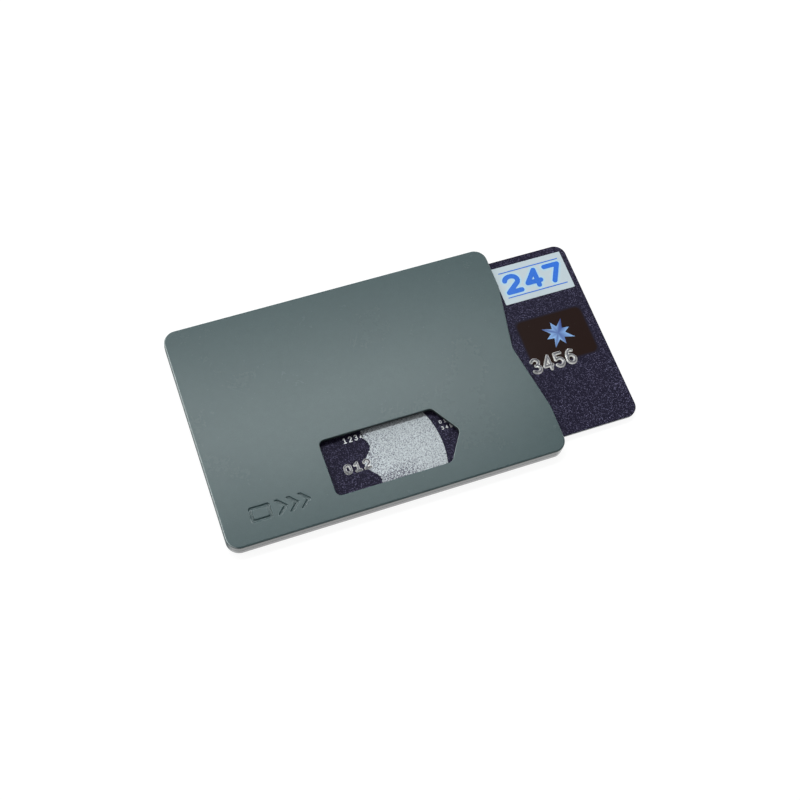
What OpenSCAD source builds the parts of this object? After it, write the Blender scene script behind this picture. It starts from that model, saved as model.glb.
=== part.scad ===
// Rigid shielding sleeve for one payment card, with the card slid partly out of its mouth.
// Millimetres. The origin is the centre of the sleeve's rear face; +X points out of the mouth,
// +Y towards the upper long side and +Z out of the front face.

/* [Sleeve] */
// Length from the closed end to the mouth
sleeve_l = 90; // [89.5:0.5:96]
// Width across the two long sides
sleeve_w = 62.3; // [62:0.1:68]
// Thickness over both face walls
sleeve_t = 4; // [4:0.1:6]
// Radius of the four corners in plan
corner_r = 3.5; // [2:0.5:6]
// Radius of the rounded edge round each face
edge_r = 0.4; // [0.2:0.05:0.5]
// Thickness of each face wall behind its foil
wall_t = 1.1; // [0.9:0.05:1.1]
// Thickness of the outer side walls
side_t = 1.3; // [1:0.1:1.5]
// Thickness of the rails that guide the card's long edges
rail_t = 1; // [0.8:0.1:1.2]
// Height and depth of the fine groove where the two shells meet
seam_groove = 0.12; // [0.05:0.01:0.2]

/* [Mouth] */
// Depth of the shallow notch in the middle of the mouth
notch_d = 3.3; // [1:0.1:6]
// Distance from the middle of the notch to each of its ends
notch_half = 18.8; // [10:0.1:22]
// Radius at the bottom of the notch
notch_root_r = 3; // [1:0.5:12]
// Lead-in chamfer on the inner edges of the mouth and the window
lead_in = 0.3; // [0.1:0.05:0.4]

/* [Thumb window] */
// Place of the window's closed-end side, from the middle of the sleeve
window_x = -15.6; // [-20:0.1:-10]
// Length of the window's parallel sides
window_l = 30.6; // [20:0.1:36]
// Width of the window
window_w = 15.5; // [10:0.1:18]
// Place of the window's middle, from the sleeve's middle line
window_y = -17.75; // [-18:0.05:-10]
// Length of the pointed end
window_tip = 5; // [2:0.5:8]
// Radius of the two closed-end corners
window_corner_r = 1.5; // [0.5:0.1:3]
// Radius of the two shoulders and of the point
window_point_r = 1.6; // [0.5:0.1:3]
// Radius of the rounded edge round the window
window_edge_r = 0.15; // [0.1:0.05:0.4]

/* [Shielding] */
// Thickness of each shielding foil
foil_t = 0.1; // [0.05:0.01:0.15]
// Thickness of the adhesive film behind each foil
glue_t = 0.05; // [0.03:0.01:0.08]
// Distance of the foils from the mouth
foil_setback = 2.5; // [1:0.5:5]
// Distance of the front foil from the window's edge
foil_margin = 1; // [0.5:0.5:3]

/* [Debossed mark] */
// Depth of the debossed mark
mark_depth = 0.3; // [0.1:0.05:0.4]
// Width of the mark's grooves
mark_stroke = 0.7; // [0.3:0.05:0.8]
// Height of the mark
mark_h = 4; // [2:0.5:6]
// Left end of the mark
mark_x = -37.5; // [-40:0.5:-30]
// Foot of the mark
mark_y = -25.8; // [-27:0.1:-20]

/* [Card] */
// Length of the card
card_l = 85.6; // [85.5:0.05:85.7]
// Width of the card
card_w = 53.98; // [53.9:0.01:54]
// Thickness of the card
card_t = 0.76; // [0.7:0.01:0.8]
// Radius of the card's corners
card_r = 3.18; // [2.88:0.01:3.48]
// Thickness of each outer sheet of the card
sheet_t = 0.15; // [0.1:0.01:0.2]
// Height of the embossed characters over the card
emboss_h = 0.46; // [0.3:0.02:0.48]
// How far the card stands out past its fully home place
card_out = 24.4; // [0:0.1:60]

/* [Hidden] */
$fn = 64;

plastic = [0.43, 0.48, 0.48];
foil_colour = [0.80, 0.81, 0.82];
glue_colour = [0.86, 0.84, 0.72];
card_dark = [0.17, 0.16, 0.23];
card_light = [0.86, 0.88, 0.90];
copper = [0.76, 0.45, 0.26];
gold = [0.85, 0.68, 0.32];
silver = [0.78, 0.80, 0.83];

arc_step = 6;
lip_step = 18;
edge_facets = 5;
reach = 80;
slack = 0.2;
fit_gap = 0.05;

// Heights through the sleeve, from its rear face
half_t = sleeve_t / 2;
lining_t = foil_t + glue_t;
face_t = wall_t + lining_t;
card_z = face_t + fit_gap;
card_top = card_z + card_t;

// Plan of the pocket
pocket_half = card_w / 2 + 0.26;
pocket_end = -card_l / 2 - 0.1;
channel_in = pocket_half + rail_t;
channel_out = sleeve_w / 2 - side_t;
channel_mid = (channel_in + channel_out) / 2;
mouth_x = sleeve_l / 2;

// Outlines as lists of [x, y, corner radius], anticlockwise
sleeve_path = [
    [-mouth_x, -sleeve_w / 2, corner_r],
    [mouth_x, -sleeve_w / 2, corner_r],
    [mouth_x, -pocket_half, 0],
    [mouth_x, pocket_half, 0],
    [mouth_x, sleeve_w / 2, corner_r],
    [-mouth_x, sleeve_w / 2, corner_r],
];
wall_sides = [0, 1, 3, 4, 5];
wall_bends = [0, 1, 4, 5];
lip_sides = [2];

// The notch's two flanks, carried on past the mouth
notch_path = [
    [mouth_x - notch_d, 0, notch_root_r],
    [mouth_x + notch_d, -2 * notch_half, 0],
    [mouth_x + notch_d, 2 * notch_half, 0],
];

window_path = [
    [window_x, window_y - window_w / 2, window_corner_r],
    [window_x + window_l, window_y - window_w / 2, window_point_r],
    [window_x + window_l + window_tip, window_y, window_point_r],
    [window_x + window_l, window_y + window_w / 2, window_point_r],
    [window_x, window_y + window_w / 2, window_corner_r],
];

foil_half = pocket_half - 0.3;
foil_end = pocket_end + 0.4;
foil_r = 0.8;
foil_path = [
    [foil_end, -foil_half, foil_r],
    [mouth_x - foil_setback, -foil_half, foil_r],
    [mouth_x - foil_setback, -notch_half, 0],
    [mouth_x - notch_d - foil_setback, 0, 0],
    [mouth_x - foil_setback, notch_half, 0],
    [mouth_x - foil_setback, foil_half, foil_r],
    [foil_end, foil_half, foil_r],
];

// Moulded joints between the shells, in the channels beside the rails
pin_r = 0.5;
pin_h = 0.7;
boss_l = 3;
boss_x = [-36, -12, 12, 36];
rib_t = 0.8;
rib_x = [-24, 0, 24];
brake_r = 6;
brake_proud = 0.19;
brake_l = 3;
brake_x = [-20, 30];

// Characters: a cell is [width, height, stroke, pitch]
number_cell = [2.75, 4.4, 0.6, 3.3];
short_cell = [1.9, 2.6, 0.48, 2.54];
small_cell = [1.0, 1.6, 0.26, 1.5];
tiny_cell = [0.7, 1.0, 0.18, 1.15];
label_cell = [5.2, 6.2, 1.4, 6.1];
tipping_t = 0.04;
ink_t = 0.02;

// The seven strokes that each numeral uses: top, upper right, lower right, foot, lower left,
// upper left, middle
NUMERALS = [
    [1, 1, 1, 1, 1, 1, 0], [0, 1, 1, 0, 0, 0, 0], [1, 1, 0, 1, 1, 0, 1], [1, 1, 1, 1, 0, 0, 1],
    [0, 1, 1, 0, 0, 1, 1], [1, 0, 1, 1, 0, 1, 1], [1, 0, 1, 1, 1, 1, 1], [1, 1, 1, 0, 0, 0, 0],
    [1, 1, 1, 1, 1, 1, 1], [1, 1, 1, 1, 0, 1, 1],
];
GAP = -1;

// Rows of characters on the card, placed from the card's middle
number_row = [1, 2, 3, 4, GAP, 5, 6, 7, 8, GAP, 9, 0, 1, 2, GAP, 3, 4, 5, 6];
number_at = [-29.0, -8.3];
date_row = [1, 2, GAP, 2, 8];
date_at = [-2.9, -17.4];
short_row = [0, 1, 2];
short_at = [-35.8, -20.1];
repeat_row = [1, 2, 3, 4];
repeat_at = [-33.7, -11.9];
note_rows = [[0, 1, 2], [3, 4, 5]];
note_at = [-8.4, -14.0];
note_drop = 1.8;

// Panels on the card, placed from its middle
label_size = [20.3, 11.6];
label_mid = [31.15, 19.15];
label_row = [2, 4, 7];
label_rule_t = 0.3;
label_rule_inset = [1.4, 1.9];
patch_size = [19.4, 14.8];
patch_mid = [30.5, 0.4];
patch_r = 1;
field_mid = [-19.9, -19];
field_half = [10.5, 16];
field_wave = 1.2;
field_wave_l = 9;
stripe_h = 12.7;
stripe_top = 4.2;
signature_size = [70, 9.5];
signature_mid = [0, 1.6];
rear_print_t = 0.03;

// Chip module and antenna
chip_mid = [-27.7, 3.1];
module_size = [13, 11.8];
module_r = 1.4;
contact_t = 0.04;
tape_t = 0.12;
module_gap = 0.1;
glob_size = [8, 7.4];
glob_t = 0.34;
die_size = 2.4;
die_t = 0.18;
slit = 0.25;
turns = 5;
turn_inset = 3;
turn_pitch = 0.6;
trace_w = 0.25;
trace_t = 0.05;
trace_z = card_t / 2;
bridge_drop = 0.1;

function point(path, i) = path[(i + len(path)) % len(path)];
function flat(v) = [v[0], v[1]];
function unit(v) = v / norm(v);
function heading(path, i) = unit(flat(point(path, i + 1)) - flat(point(path, i)));
function left_of(d) = [-d[1], d[0]];
function turn_at(path, i) =
    let (a = heading(path, i - 1), b = heading(path, i))
    atan2(a[0] * b[1] - a[1] * b[0], a * b);
function setback(path, i) = point(path, i)[2] * tan(abs(turn_at(path, i)) / 2);
function bend_start(path, i) = flat(point(path, i)) - heading(path, i - 1) * setback(path, i);
function bend_end(path, i) = flat(point(path, i)) + heading(path, i) * setback(path, i);
function bend_centre(path, i) =
    bend_start(path, i) + left_of(heading(path, i - 1)) * point(path, i)[2] * sign(turn_at(path, i));
function bend_from(path, i) =
    let (d = bend_start(path, i) - bend_centre(path, i)) atan2(d[1], d[0]);

// The path moved inwards by d, with its bends kept concentric
function inset(path, d) = [
    for (i = [0 : len(path) - 1])
        let (
            a = left_of(heading(path, i - 1)),
            b = left_of(heading(path, i)),
            p = flat(point(path, i)) + d * (a + b) / (1 + a * b)
        )
        [p[0], p[1], max(0, point(path, i)[2] - d * sign(turn_at(path, i)))],
];

// The rounded outline of a path, as points
function outline(path) = [
    for (i = [0 : len(path) - 1])
        let (
            turn = turn_at(path, i),
            c = bend_centre(path, i),
            r = point(path, i)[2],
            n = max(1, ceil(abs(turn) / arc_step))
        )
        for (k = [0 : r > 0 ? n : 0])
            let (a = bend_from(path, i) + turn * k / n)
            c + r * [cos(a), sin(a)],
];

// Edge sections: x runs into the shell from its outline, y runs up from its outer face
function quarter(r) = [
    for (k = [0 : edge_facets])
        let (a = 90 * k / edge_facets)
        [r - r * sin(a), r - r * cos(a)],
];
function wall_section(groove) = concat(
    [[side_t, 0]], quarter(edge_r),
    [[0, half_t - groove], [groove, half_t - groove], [groove, half_t], [side_t, half_t]]
);
function lip_section() = concat(
    [[side_t, 0]], quarter(edge_r), [[0, face_t - lead_in], [lead_in, face_t], [side_t, face_t]]
);

// Section of the space over an opening's side, with the side at x = 0 and its two lips cut back
function opening_section() = concat(
    [[-window_edge_r, -slack]], [for (p = quarter(window_edge_r)) [-p[0], p[1]]],
    [[0, face_t - lead_in], [-lead_in, face_t], [-lead_in, half_t], [reach, half_t], [reach, -slack]]
);

// The lines that a path's sides and bends touch, as [point, direction]
function tangents(path) = [
    for (i = [0 : len(path) - 1])
        let (turn = turn_at(path, i), n = point(path, i)[2] > 0 ? ceil(turn / lip_step) : 1)
        for (k = [1 : n])
            let (a = bend_from(path, i) + turn * k / n)
            k == n
                ? [bend_end(path, i), heading(path, i)]
                : [bend_centre(path, i) + point(path, i)[2] * [cos(a), sin(a)], [-sin(a), cos(a)]],
];

// The parts of an edge that follow the straight sides and the bends of a path
module edge_sides(path, sides, section) {
    for (i = sides)
        let (p = bend_end(path, i), q = bend_start(path, i + 1), d = heading(path, i))
        translate([p[0], p[1], 0])
            rotate([90, 0, atan2(d[0], -d[1])])
                linear_extrude(norm(q - p))
                    polygon(section);
}

module edge_bends(path, bends, section) {
    for (i = bends)
        let (
            c = bend_centre(path, i),
            turn = turn_at(path, i),
            r = point(path, i)[2],
            from = bend_from(path, i)
        )
        translate([c[0], c[1], 0])
            rotate([0, 0, min(from, from + turn)])
                rotate_extrude(angle = abs(turn))
                    polygon([for (p = section) [r - sign(turn) * p[0], p[1]]]);
}

// What is cut for an opening: the space that lies inside of every line its path touches
module opening(path) {
    lines = tangents(path);
    intersection_for (i = [0 : len(lines) - 1]) {
        p = lines[i][0];
        d = lines[i][1];
        translate([p[0], p[1], 0])
            rotate([90, 0, atan2(d[0], -d[1])])
                translate([0, 0, -reach])
                    linear_extrude(2 * reach)
                        polygon(opening_section());
    }
}

module slab(path, z, h) {
    translate([0, 0, z])
        linear_extrude(h)
            polygon(outline(path));
}

module rounded_rect(size, r) {
    square([size[0] - 2 * r, size[1]], center = true);
    square([size[0], size[1] - 2 * r], center = true);
    for (x = [-1, 1], y = [-1, 1])
        translate([x * (size[0] / 2 - r), y * (size[1] / 2 - r)])
            circle(r);
}

module block(x, y, z) {
    translate([x[0], y[0], z[0]])
        cube([x[1] - x[0], y[1] - y[0], z[1] - z[0]]);
}

// One moulded half, outer face down: face wall, side walls, rails and stop
module half_shell(groove) {
    difference() {
        union() {
            linear_extrude(face_t)
                rounded_rect([sleeve_l - side_t, sleeve_w - side_t], corner_r);
            edge_sides(sleeve_path, wall_sides, wall_section(groove));
            edge_bends(sleeve_path, wall_bends, wall_section(groove));
            edge_sides(sleeve_path, lip_sides, lip_section());
            block([-mouth_x + side_t / 2, pocket_end], [-channel_in, channel_in], [wall_t, half_t]);
            for (side = [0, 1])
                mirror([0, side, 0])
                    side_works();
        }
        slab(foil_path, wall_t, lining_t + slack);
        opening(notch_path);
    }
}

// One long side of a half: guide rail, cross ribs, bosses and card brakes
module side_works() {
    block([pocket_end - rail_t, mouth_x - side_t / 2], [pocket_half, channel_in], [wall_t, half_t]);
    for (x = rib_x)
        block([x - rib_t / 2, x + rib_t / 2], [channel_in - slack, channel_out + slack], [wall_t, half_t]);
    for (x = boss_x)
        block([x - boss_l / 2, x + boss_l / 2], [channel_in - slack, channel_out + slack], [wall_t, half_t]);
    for (x = brake_x)
        intersection() {
            block([x - brake_l / 2, x + brake_l / 2], [pocket_half - 1, pocket_half + slack], [wall_t, half_t]);
            translate([x, pocket_half - brake_proud + brake_r, 0])
                cylinder(r = brake_r, h = half_t);
        }
}

module at_bosses() {
    for (x = boss_x, y = [-1, 1])
        translate([x, y * channel_mid, 0])
            children();
}

module front_shell() {
    color(plastic)
        translate([0, 0, sleeve_t])
            mirror([0, 0, 1])
                difference() {
                    half_shell(seam_groove);
                    opening(window_path);
                    translate([0, 0, -slack])
                        linear_extrude(mark_depth + slack)
                            mark();
                    at_bosses()
                        translate([0, 0, half_t - pin_h - slack])
                            cylinder(r = pin_r + fit_gap, h = pin_h + 2 * slack);
                }
}

module rear_shell() {
    color(plastic) {
        half_shell(0);
        at_bosses()
            translate([0, 0, wall_t])
                cylinder(r = pin_r, h = half_t - wall_t + pin_h);
    }
}

// Plain mark: the outline of a card, then arrowheads that point out of the mouth
module mark() {
    card_mark = [1.35 * mark_h, mark_h];
    translate([mark_x + card_mark[0] / 2, mark_y + mark_h / 2])
        difference() {
            rounded_rect(card_mark, 0.15 * mark_h);
            rounded_rect([card_mark[0] - 2 * mark_stroke, card_mark[1] - 2 * mark_stroke], 0.08 * mark_h);
        }
    for (k = [0 : 2])
        translate([mark_x + card_mark[0] + 1.2 + k * 0.75 * mark_h, mark_y + mark_h / 2])
            arrowhead();
}

module arrowhead() {
    reach = mark_h / 2;
    thick = mark_stroke * sqrt(2);
    polygon([
        [0, reach], [reach, 0], [0, -reach], [thick, -reach], [reach + thick, 0], [thick, reach],
    ]);
}

module lining(z, t) {
    slab(inset(foil_path, fit_gap), z, t);
}

module window_clearance() {
    slab(inset(window_path, -foil_margin), half_t, half_t);
}

module rear_shield_foil() {
    color(foil_colour)
        lining(wall_t + glue_t, foil_t);
}

module rear_foil_adhesive() {
    color(glue_colour)
        lining(wall_t, glue_t);
}

module front_shield_foil() {
    color(foil_colour)
        difference() {
            lining(sleeve_t - wall_t - lining_t, foil_t);
            window_clearance();
        }
}

module front_foil_adhesive() {
    color(glue_colour)
        difference() {
            lining(sleeve_t - wall_t - glue_t, glue_t);
            window_clearance();
        }
}

// Places what is drawn from the middle of the card's rear face
module on_card(z = 0) {
    translate([card_out, 0, card_z + z])
        children();
}

module card_plan() {
    rounded_rect([card_l, card_w], card_r);
}

module numeral(n, cell) {
    w = cell[0];
    h = cell[1];
    s = cell[2];
    mid = (h - s) / 2;
    strokes = [
        [0, h - s, w, s], [w - s, mid, s, h - mid], [w - s, 0, s, mid + s], [0, 0, w, s],
        [0, 0, s, mid + s], [0, mid, s, h - mid], [0, mid, w, s],
    ];
    for (k = [0 : len(strokes) - 1])
        if (NUMERALS[n][k] == 1)
            translate([strokes[k][0], strokes[k][1]])
                square([strokes[k][2], strokes[k][3]]);
}

module row(numbers, cell, place) {
    for (i = [0 : len(numbers) - 1])
        if (numbers[i] != GAP)
            translate([place[0] + i * cell[3], place[1]])
                numeral(numbers[i], cell);
}

module number_rows() {
    row(number_row, number_cell, number_at);
    row(date_row, short_cell, date_at);
}

module short_rows() {
    row(short_row, short_cell, short_at);
}

module card_front_sheet() {
    color(card_dark)
        on_card(card_t - sheet_t)
            difference() {
                union() {
                    linear_extrude(sheet_t)
                        card_plan();
                    linear_extrude(sheet_t + emboss_h - tipping_t) {
                        number_rows();
                        short_rows();
                    }
                }
                translate([chip_mid[0], chip_mid[1], -slack])
                    linear_extrude(sheet_t + 2 * slack)
                        rounded_rect(module_size, module_r);
            }
}

module card_core() {
    color(card_light)
        on_card()
            difference() {
                translate([0, 0, sheet_t])
                    linear_extrude(card_t - 2 * sheet_t)
                        card_plan();
                coil();
                translate([chip_mid[0], chip_mid[1], card_t - contact_t - tape_t])
                    linear_extrude(card_t)
                        rounded_rect(module_size, module_r);
                translate([chip_mid[0], chip_mid[1], card_t - contact_t - tape_t - glob_t])
                    linear_extrude(card_t)
                        rounded_rect(glob_size, module_r);
            }
}

module card_rear_sheet() {
    color(card_dark)
        on_card()
            difference() {
                linear_extrude(sheet_t)
                    card_plan();
                translate([0, 0, -slack])
                    linear_extrude(rear_print_t + slack) {
                        stripe_plan();
                        signature_plan();
                    }
            }
}

module trace(p, q) {
    translate([min(p[0], q[0]) - trace_w / 2, min(p[1], q[1]) - trace_w / 2])
        square([abs(q[0] - p[0]) + trace_w, abs(q[1] - p[1]) + trace_w]);
}

// Flat rectangular coil; its outer end crosses under the turns and both ends reach the chip
module coil() {
    half = [card_l / 2 - turn_inset, card_w / 2 - turn_inset];
    pad_x = chip_mid[0] - glob_size[0] / 2 + 1;
    lead_y = [chip_mid[1] - 2, chip_mid[1] + 2];
    inner_x = -half[0] + turns * turn_pitch;
    translate([0, 0, trace_z - trace_t / 2])
        linear_extrude(trace_t) {
            for (k = [0 : turns - 1])
                let (
                    x = half[0] - k * turn_pitch,
                    y = half[1] - k * turn_pitch,
                    last = k == turns - 1
                ) {
                    trace([-x, k == 0 ? lead_y[0] : -y], [-x, -y]);
                    trace([-x, -y], [x, -y]);
                    trace([x, -y], [x, y]);
                    trace([x, y], [-x + turn_pitch, y]);
                    trace([-x + turn_pitch, y], [-x + turn_pitch, last ? lead_y[1] : -y + turn_pitch]);
                }
            trace([inner_x, lead_y[1]], [pad_x, lead_y[1]]);
            trace([inner_x + 1, lead_y[0]], [pad_x, lead_y[0]]);
        }
    for (x = [-half[0], inner_x + 1])
        block([x - trace_w / 2, x + trace_w / 2], [lead_y[0] - trace_w / 2, lead_y[0] + trace_w / 2],
            [trace_z - bridge_drop - trace_t / 2, trace_z + trace_t / 2]);
    translate([0, 0, trace_z - bridge_drop - trace_t / 2])
        linear_extrude(trace_t)
            trace([-half[0], lead_y[0]], [inner_x + 1, lead_y[0]]);
}

module antenna_coil() {
    color(copper)
        on_card()
            difference() {
                coil();
                translate([chip_mid[0], chip_mid[1], 0])
                    linear_extrude(card_t)
                        rounded_rect(glob_size, module_r);
            }
}

module chip_contact_plate() {
    size = [module_size[0] - 2 * module_gap, module_size[1] - 2 * module_gap];
    column = size[0] / 5;
    color(gold)
        on_card(card_t - contact_t)
            translate([chip_mid[0], chip_mid[1], 0])
                linear_extrude(contact_t)
                    difference() {
                        rounded_rect(size, module_r);
                        for (side = [-1, 1]) {
                            translate([side * column, 0])
                                square([slit, size[1] + slack], center = true);
                            for (k = [-1 : 1])
                                translate([side * (size[0] / 2 + column) / 2, k * size[1] / 4])
                                    square([size[0] / 2 - column + 2 * slack, slit], center = true);
                        }
                    }
}

module chip_carrier_tape() {
    color([0.35, 0.30, 0.16])
        on_card(card_t - contact_t - tape_t)
            translate([chip_mid[0], chip_mid[1], 0])
                linear_extrude(tape_t)
                    rounded_rect([module_size[0] - 2 * module_gap, module_size[1] - 2 * module_gap], module_r);
}

module die_block(grow) {
    side = die_size + 2 * grow;
    translate([chip_mid[0] - side / 2, chip_mid[1] - side / 2, card_t - contact_t - tape_t - die_t])
        cube([side, side, die_t + grow]);
}

module chip_die() {
    color([0.30, 0.32, 0.36])
        on_card()
            die_block(0);
}

module chip_encapsulant() {
    color([0.10, 0.10, 0.11])
        on_card()
            difference() {
                translate([chip_mid[0], chip_mid[1], card_t - contact_t - tape_t - glob_t])
                    linear_extrude(glob_t)
                        rounded_rect(glob_size, module_r);
                die_block(0);
            }
}

module hologram_patch() {
    color([0.18, 0.12, 0.11])
        on_card(card_t)
            linear_extrude(ink_t)
                difference() {
                    translate(patch_mid)
                        rounded_rect(patch_size, patch_r);
                    number_rows();
                }
}

module label_panel() {
    color([0.78, 0.84, 0.86])
        on_card(card_t)
            linear_extrude(ink_t)
                translate(label_mid)
                    square(label_size, center = true);
}

// Two fine rules with a row of plain numerals between them
module label_print() {
    width = (len(label_row) - 1) * label_cell[3] + label_cell[0];
    color([0.22, 0.47, 0.90])
        on_card(card_t + ink_t)
            linear_extrude(ink_t)
                translate(label_mid) {
                    for (side = [-1, 1])
                        translate([0, side * (label_size[1] / 2 - label_rule_inset[1])])
                            square([label_size[0] - 2 * label_rule_inset[0], label_rule_t], center = true);
                    row(label_row, label_cell, [-width / 2, -label_cell[1] / 2]);
                }
}

// Silver ink: an oval that runs off the card's lower edge, with a waved left side
module metallic_print_field() {
    points = [
        for (a = [0 : arc_step : 360 - arc_step])
            let (
                y = field_half[1] * sin(a),
                wave = a > 90 && a < 270 ? field_wave * (1 - cos(360 * y / field_wave_l)) : 0
            )
            [field_half[0] * cos(a) + wave, y],
    ];
    color(silver)
        on_card(card_t)
            linear_extrude(ink_t)
                difference() {
                    intersection() {
                        translate(field_mid)
                            polygon(points);
                        translate([-card_l / 2 + card_r, -card_w / 2 + card_r / 4])
                            square([card_l, card_w]);
                    }
                    number_rows();
                    short_rows();
                    small_rows();
                }
}

module small_rows() {
    row(repeat_row, small_cell, repeat_at);
    for (k = [0 : len(note_rows) - 1])
        row(note_rows[k], tiny_cell, [note_at[0], note_at[1] - k * note_drop]);
}

module small_print_numerals() {
    color("white")
        on_card(card_t)
            linear_extrude(ink_t)
                small_rows();
}

module number_tipping_foil() {
    color(silver)
        on_card(card_t + emboss_h - tipping_t)
            linear_extrude(tipping_t)
                number_rows();
}

module short_row_tipping_foil() {
    color(silver)
        on_card(card_t + emboss_h - tipping_t)
            linear_extrude(tipping_t)
                short_rows();
}

module stripe_plan() {
    translate([-card_l / 2, card_w / 2 - stripe_top - stripe_h])
        square([card_l, stripe_h]);
}

module signature_plan() {
    translate([signature_mid[0] - signature_size[0] / 2, signature_mid[1] - signature_size[1] / 2 - 3])
        square(signature_size);
}

module magnetic_stripe() {
    color([0.12, 0.10, 0.10])
        on_card()
            linear_extrude(rear_print_t)
                stripe_plan();
}

module signature_panel() {
    color([0.90, 0.90, 0.87])
        on_card()
            linear_extrude(rear_print_t)
                signature_plan();
}

front_shell();
rear_shell();
front_shield_foil();
rear_shield_foil();
front_foil_adhesive();
rear_foil_adhesive();
card_front_sheet();
card_core();
card_rear_sheet();
antenna_coil();
chip_contact_plate();
chip_carrier_tape();
chip_die();
chip_encapsulant();
hologram_patch();
label_panel();
label_print();
metallic_print_field();
small_print_numerals();
number_tipping_foil();
short_row_tipping_foil();
magnetic_stripe();
signature_panel();
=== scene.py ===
import logging
import math
from dataclasses import dataclass, field
from enum import Enum
from typing import Callable, Sequence

import bmesh
import bpy
import numpy as np
from mathutils import Matrix, Vector
from mathutils.geometry import delaunay_2d_cdt


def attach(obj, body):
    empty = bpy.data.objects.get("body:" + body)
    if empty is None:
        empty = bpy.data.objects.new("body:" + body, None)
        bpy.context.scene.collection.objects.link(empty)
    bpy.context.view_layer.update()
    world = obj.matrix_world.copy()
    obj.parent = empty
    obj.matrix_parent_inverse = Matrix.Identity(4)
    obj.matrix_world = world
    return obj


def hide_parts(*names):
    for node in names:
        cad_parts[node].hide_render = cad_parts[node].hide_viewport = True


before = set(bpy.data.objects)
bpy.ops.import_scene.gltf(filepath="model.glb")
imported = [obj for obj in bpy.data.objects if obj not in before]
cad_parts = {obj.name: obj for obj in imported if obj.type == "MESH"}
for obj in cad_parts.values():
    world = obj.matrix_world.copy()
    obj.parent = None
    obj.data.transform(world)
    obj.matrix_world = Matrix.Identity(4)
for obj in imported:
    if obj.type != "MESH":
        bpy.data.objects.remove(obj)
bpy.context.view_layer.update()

LOG = logging.getLogger("card_sleeve")
MM = 0.001
FAR = 1e3

Pair = tuple[float, float]
Triple = tuple[float, float, float]
Loop = list[int]
Array = np.ndarray
Socket = bpy.types.NodeSocket
Region = tuple[Array, list[Sequence[int]]]
Field = Callable[[Array, Array], Array]


# Plane outlines.


def unit(x: float, y: float) -> Pair:
    """A direction of length one."""
    size = math.hypot(x, y)
    return x / size, y / size


@dataclass(frozen=True)
class Outline:
    """A closed path of corners, each with the radius that rounds it, anticlockwise."""

    corners: tuple[Triple, ...]
    step: float = 5.0

    def heading(self, i: int) -> Pair:
        """The direction of the side that leaves corner i."""
        n = len(self.corners)
        a, b = self.corners[i % n], self.corners[(i + 1) % n]
        return unit(b[0] - a[0], b[1] - a[1])

    def turn(self, i: int) -> float:
        """The angle in degrees by which the path turns left at corner i."""
        a, b = self.heading(i - 1), self.heading(i)
        return math.degrees(math.atan2(a[0] * b[1] - a[1] * b[0], a[0] * b[0] + a[1] * b[1]))

    def inset(self, d: float) -> "Outline":
        """Moves the path inwards with its bends kept concentric.

        Args:
            d: Distance in millimetres; a negative one moves it outwards.

        Returns:
            The moved path, with the same number of points.
        """
        moved = []
        for i, (x, y, r) in enumerate(self.corners):
            a, b = self.heading(i - 1), self.heading(i)
            share = d / (1 + a[0] * b[0] + a[1] * b[1])
            sign = math.copysign(1, self.turn(i))
            moved.append((
                x - share * (a[1] + b[1]),
                y + share * (a[0] + b[0]),
                max(1e-3, r - d * sign) if r > 0 else 0.0,
            ))
        return Outline(tuple(moved), self.step)

    def points(self) -> tuple[list[Pair], list[int]]:
        """Rounds the path.

        Returns:
            The points, and for each corner the place of its first point in them.
        """
        found: list[Pair] = []
        starts: list[int] = []
        for i, (x, y, r) in enumerate(self.corners):
            starts.append(len(found))
            if r == 0:
                found.append((x, y))
                continue
            turn, a = self.turn(i), self.heading(i - 1)
            sign = math.copysign(1, turn)
            back = r * math.tan(math.radians(abs(turn)) / 2)
            cx = x - a[0] * back - a[1] * r * sign
            cy = y - a[1] * back + a[0] * r * sign
            start = math.atan2(y - a[1] * back - cy, x - a[0] * back - cx)
            steps = max(2, math.ceil(abs(turn) / self.step - 1e-6))
            for k in range(steps + 1):
                at = start + math.radians(turn) * k / steps
                found.append((cx + r * math.cos(at), cy + r * math.sin(at)))
        return found, starts


def rectangle(mid: Pair, size: Pair, r: float, step: float = 6.0) -> Outline:
    """A rectangle with four rounded corners, about its middle."""
    x, y, w, h = mid[0], mid[1], size[0] / 2, size[1] / 2
    return Outline(((x - w, y - h, r), (x + w, y - h, r), (x + w, y + h, r), (x - w, y + h, r)), step)


# Numerals as strokes.


def bow(
    cx: float, cy: float, rx: float, ry: float, start: float, end: float, n: int = 14
) -> list[Pair]:
    """Points along part of an ellipse, between two angles in degrees."""
    angles = [math.radians(start + (end - start) * k / n) for k in range(n + 1)]
    return [(cx + rx * math.cos(a), cy + ry * math.sin(a)) for a in angles]


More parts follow.
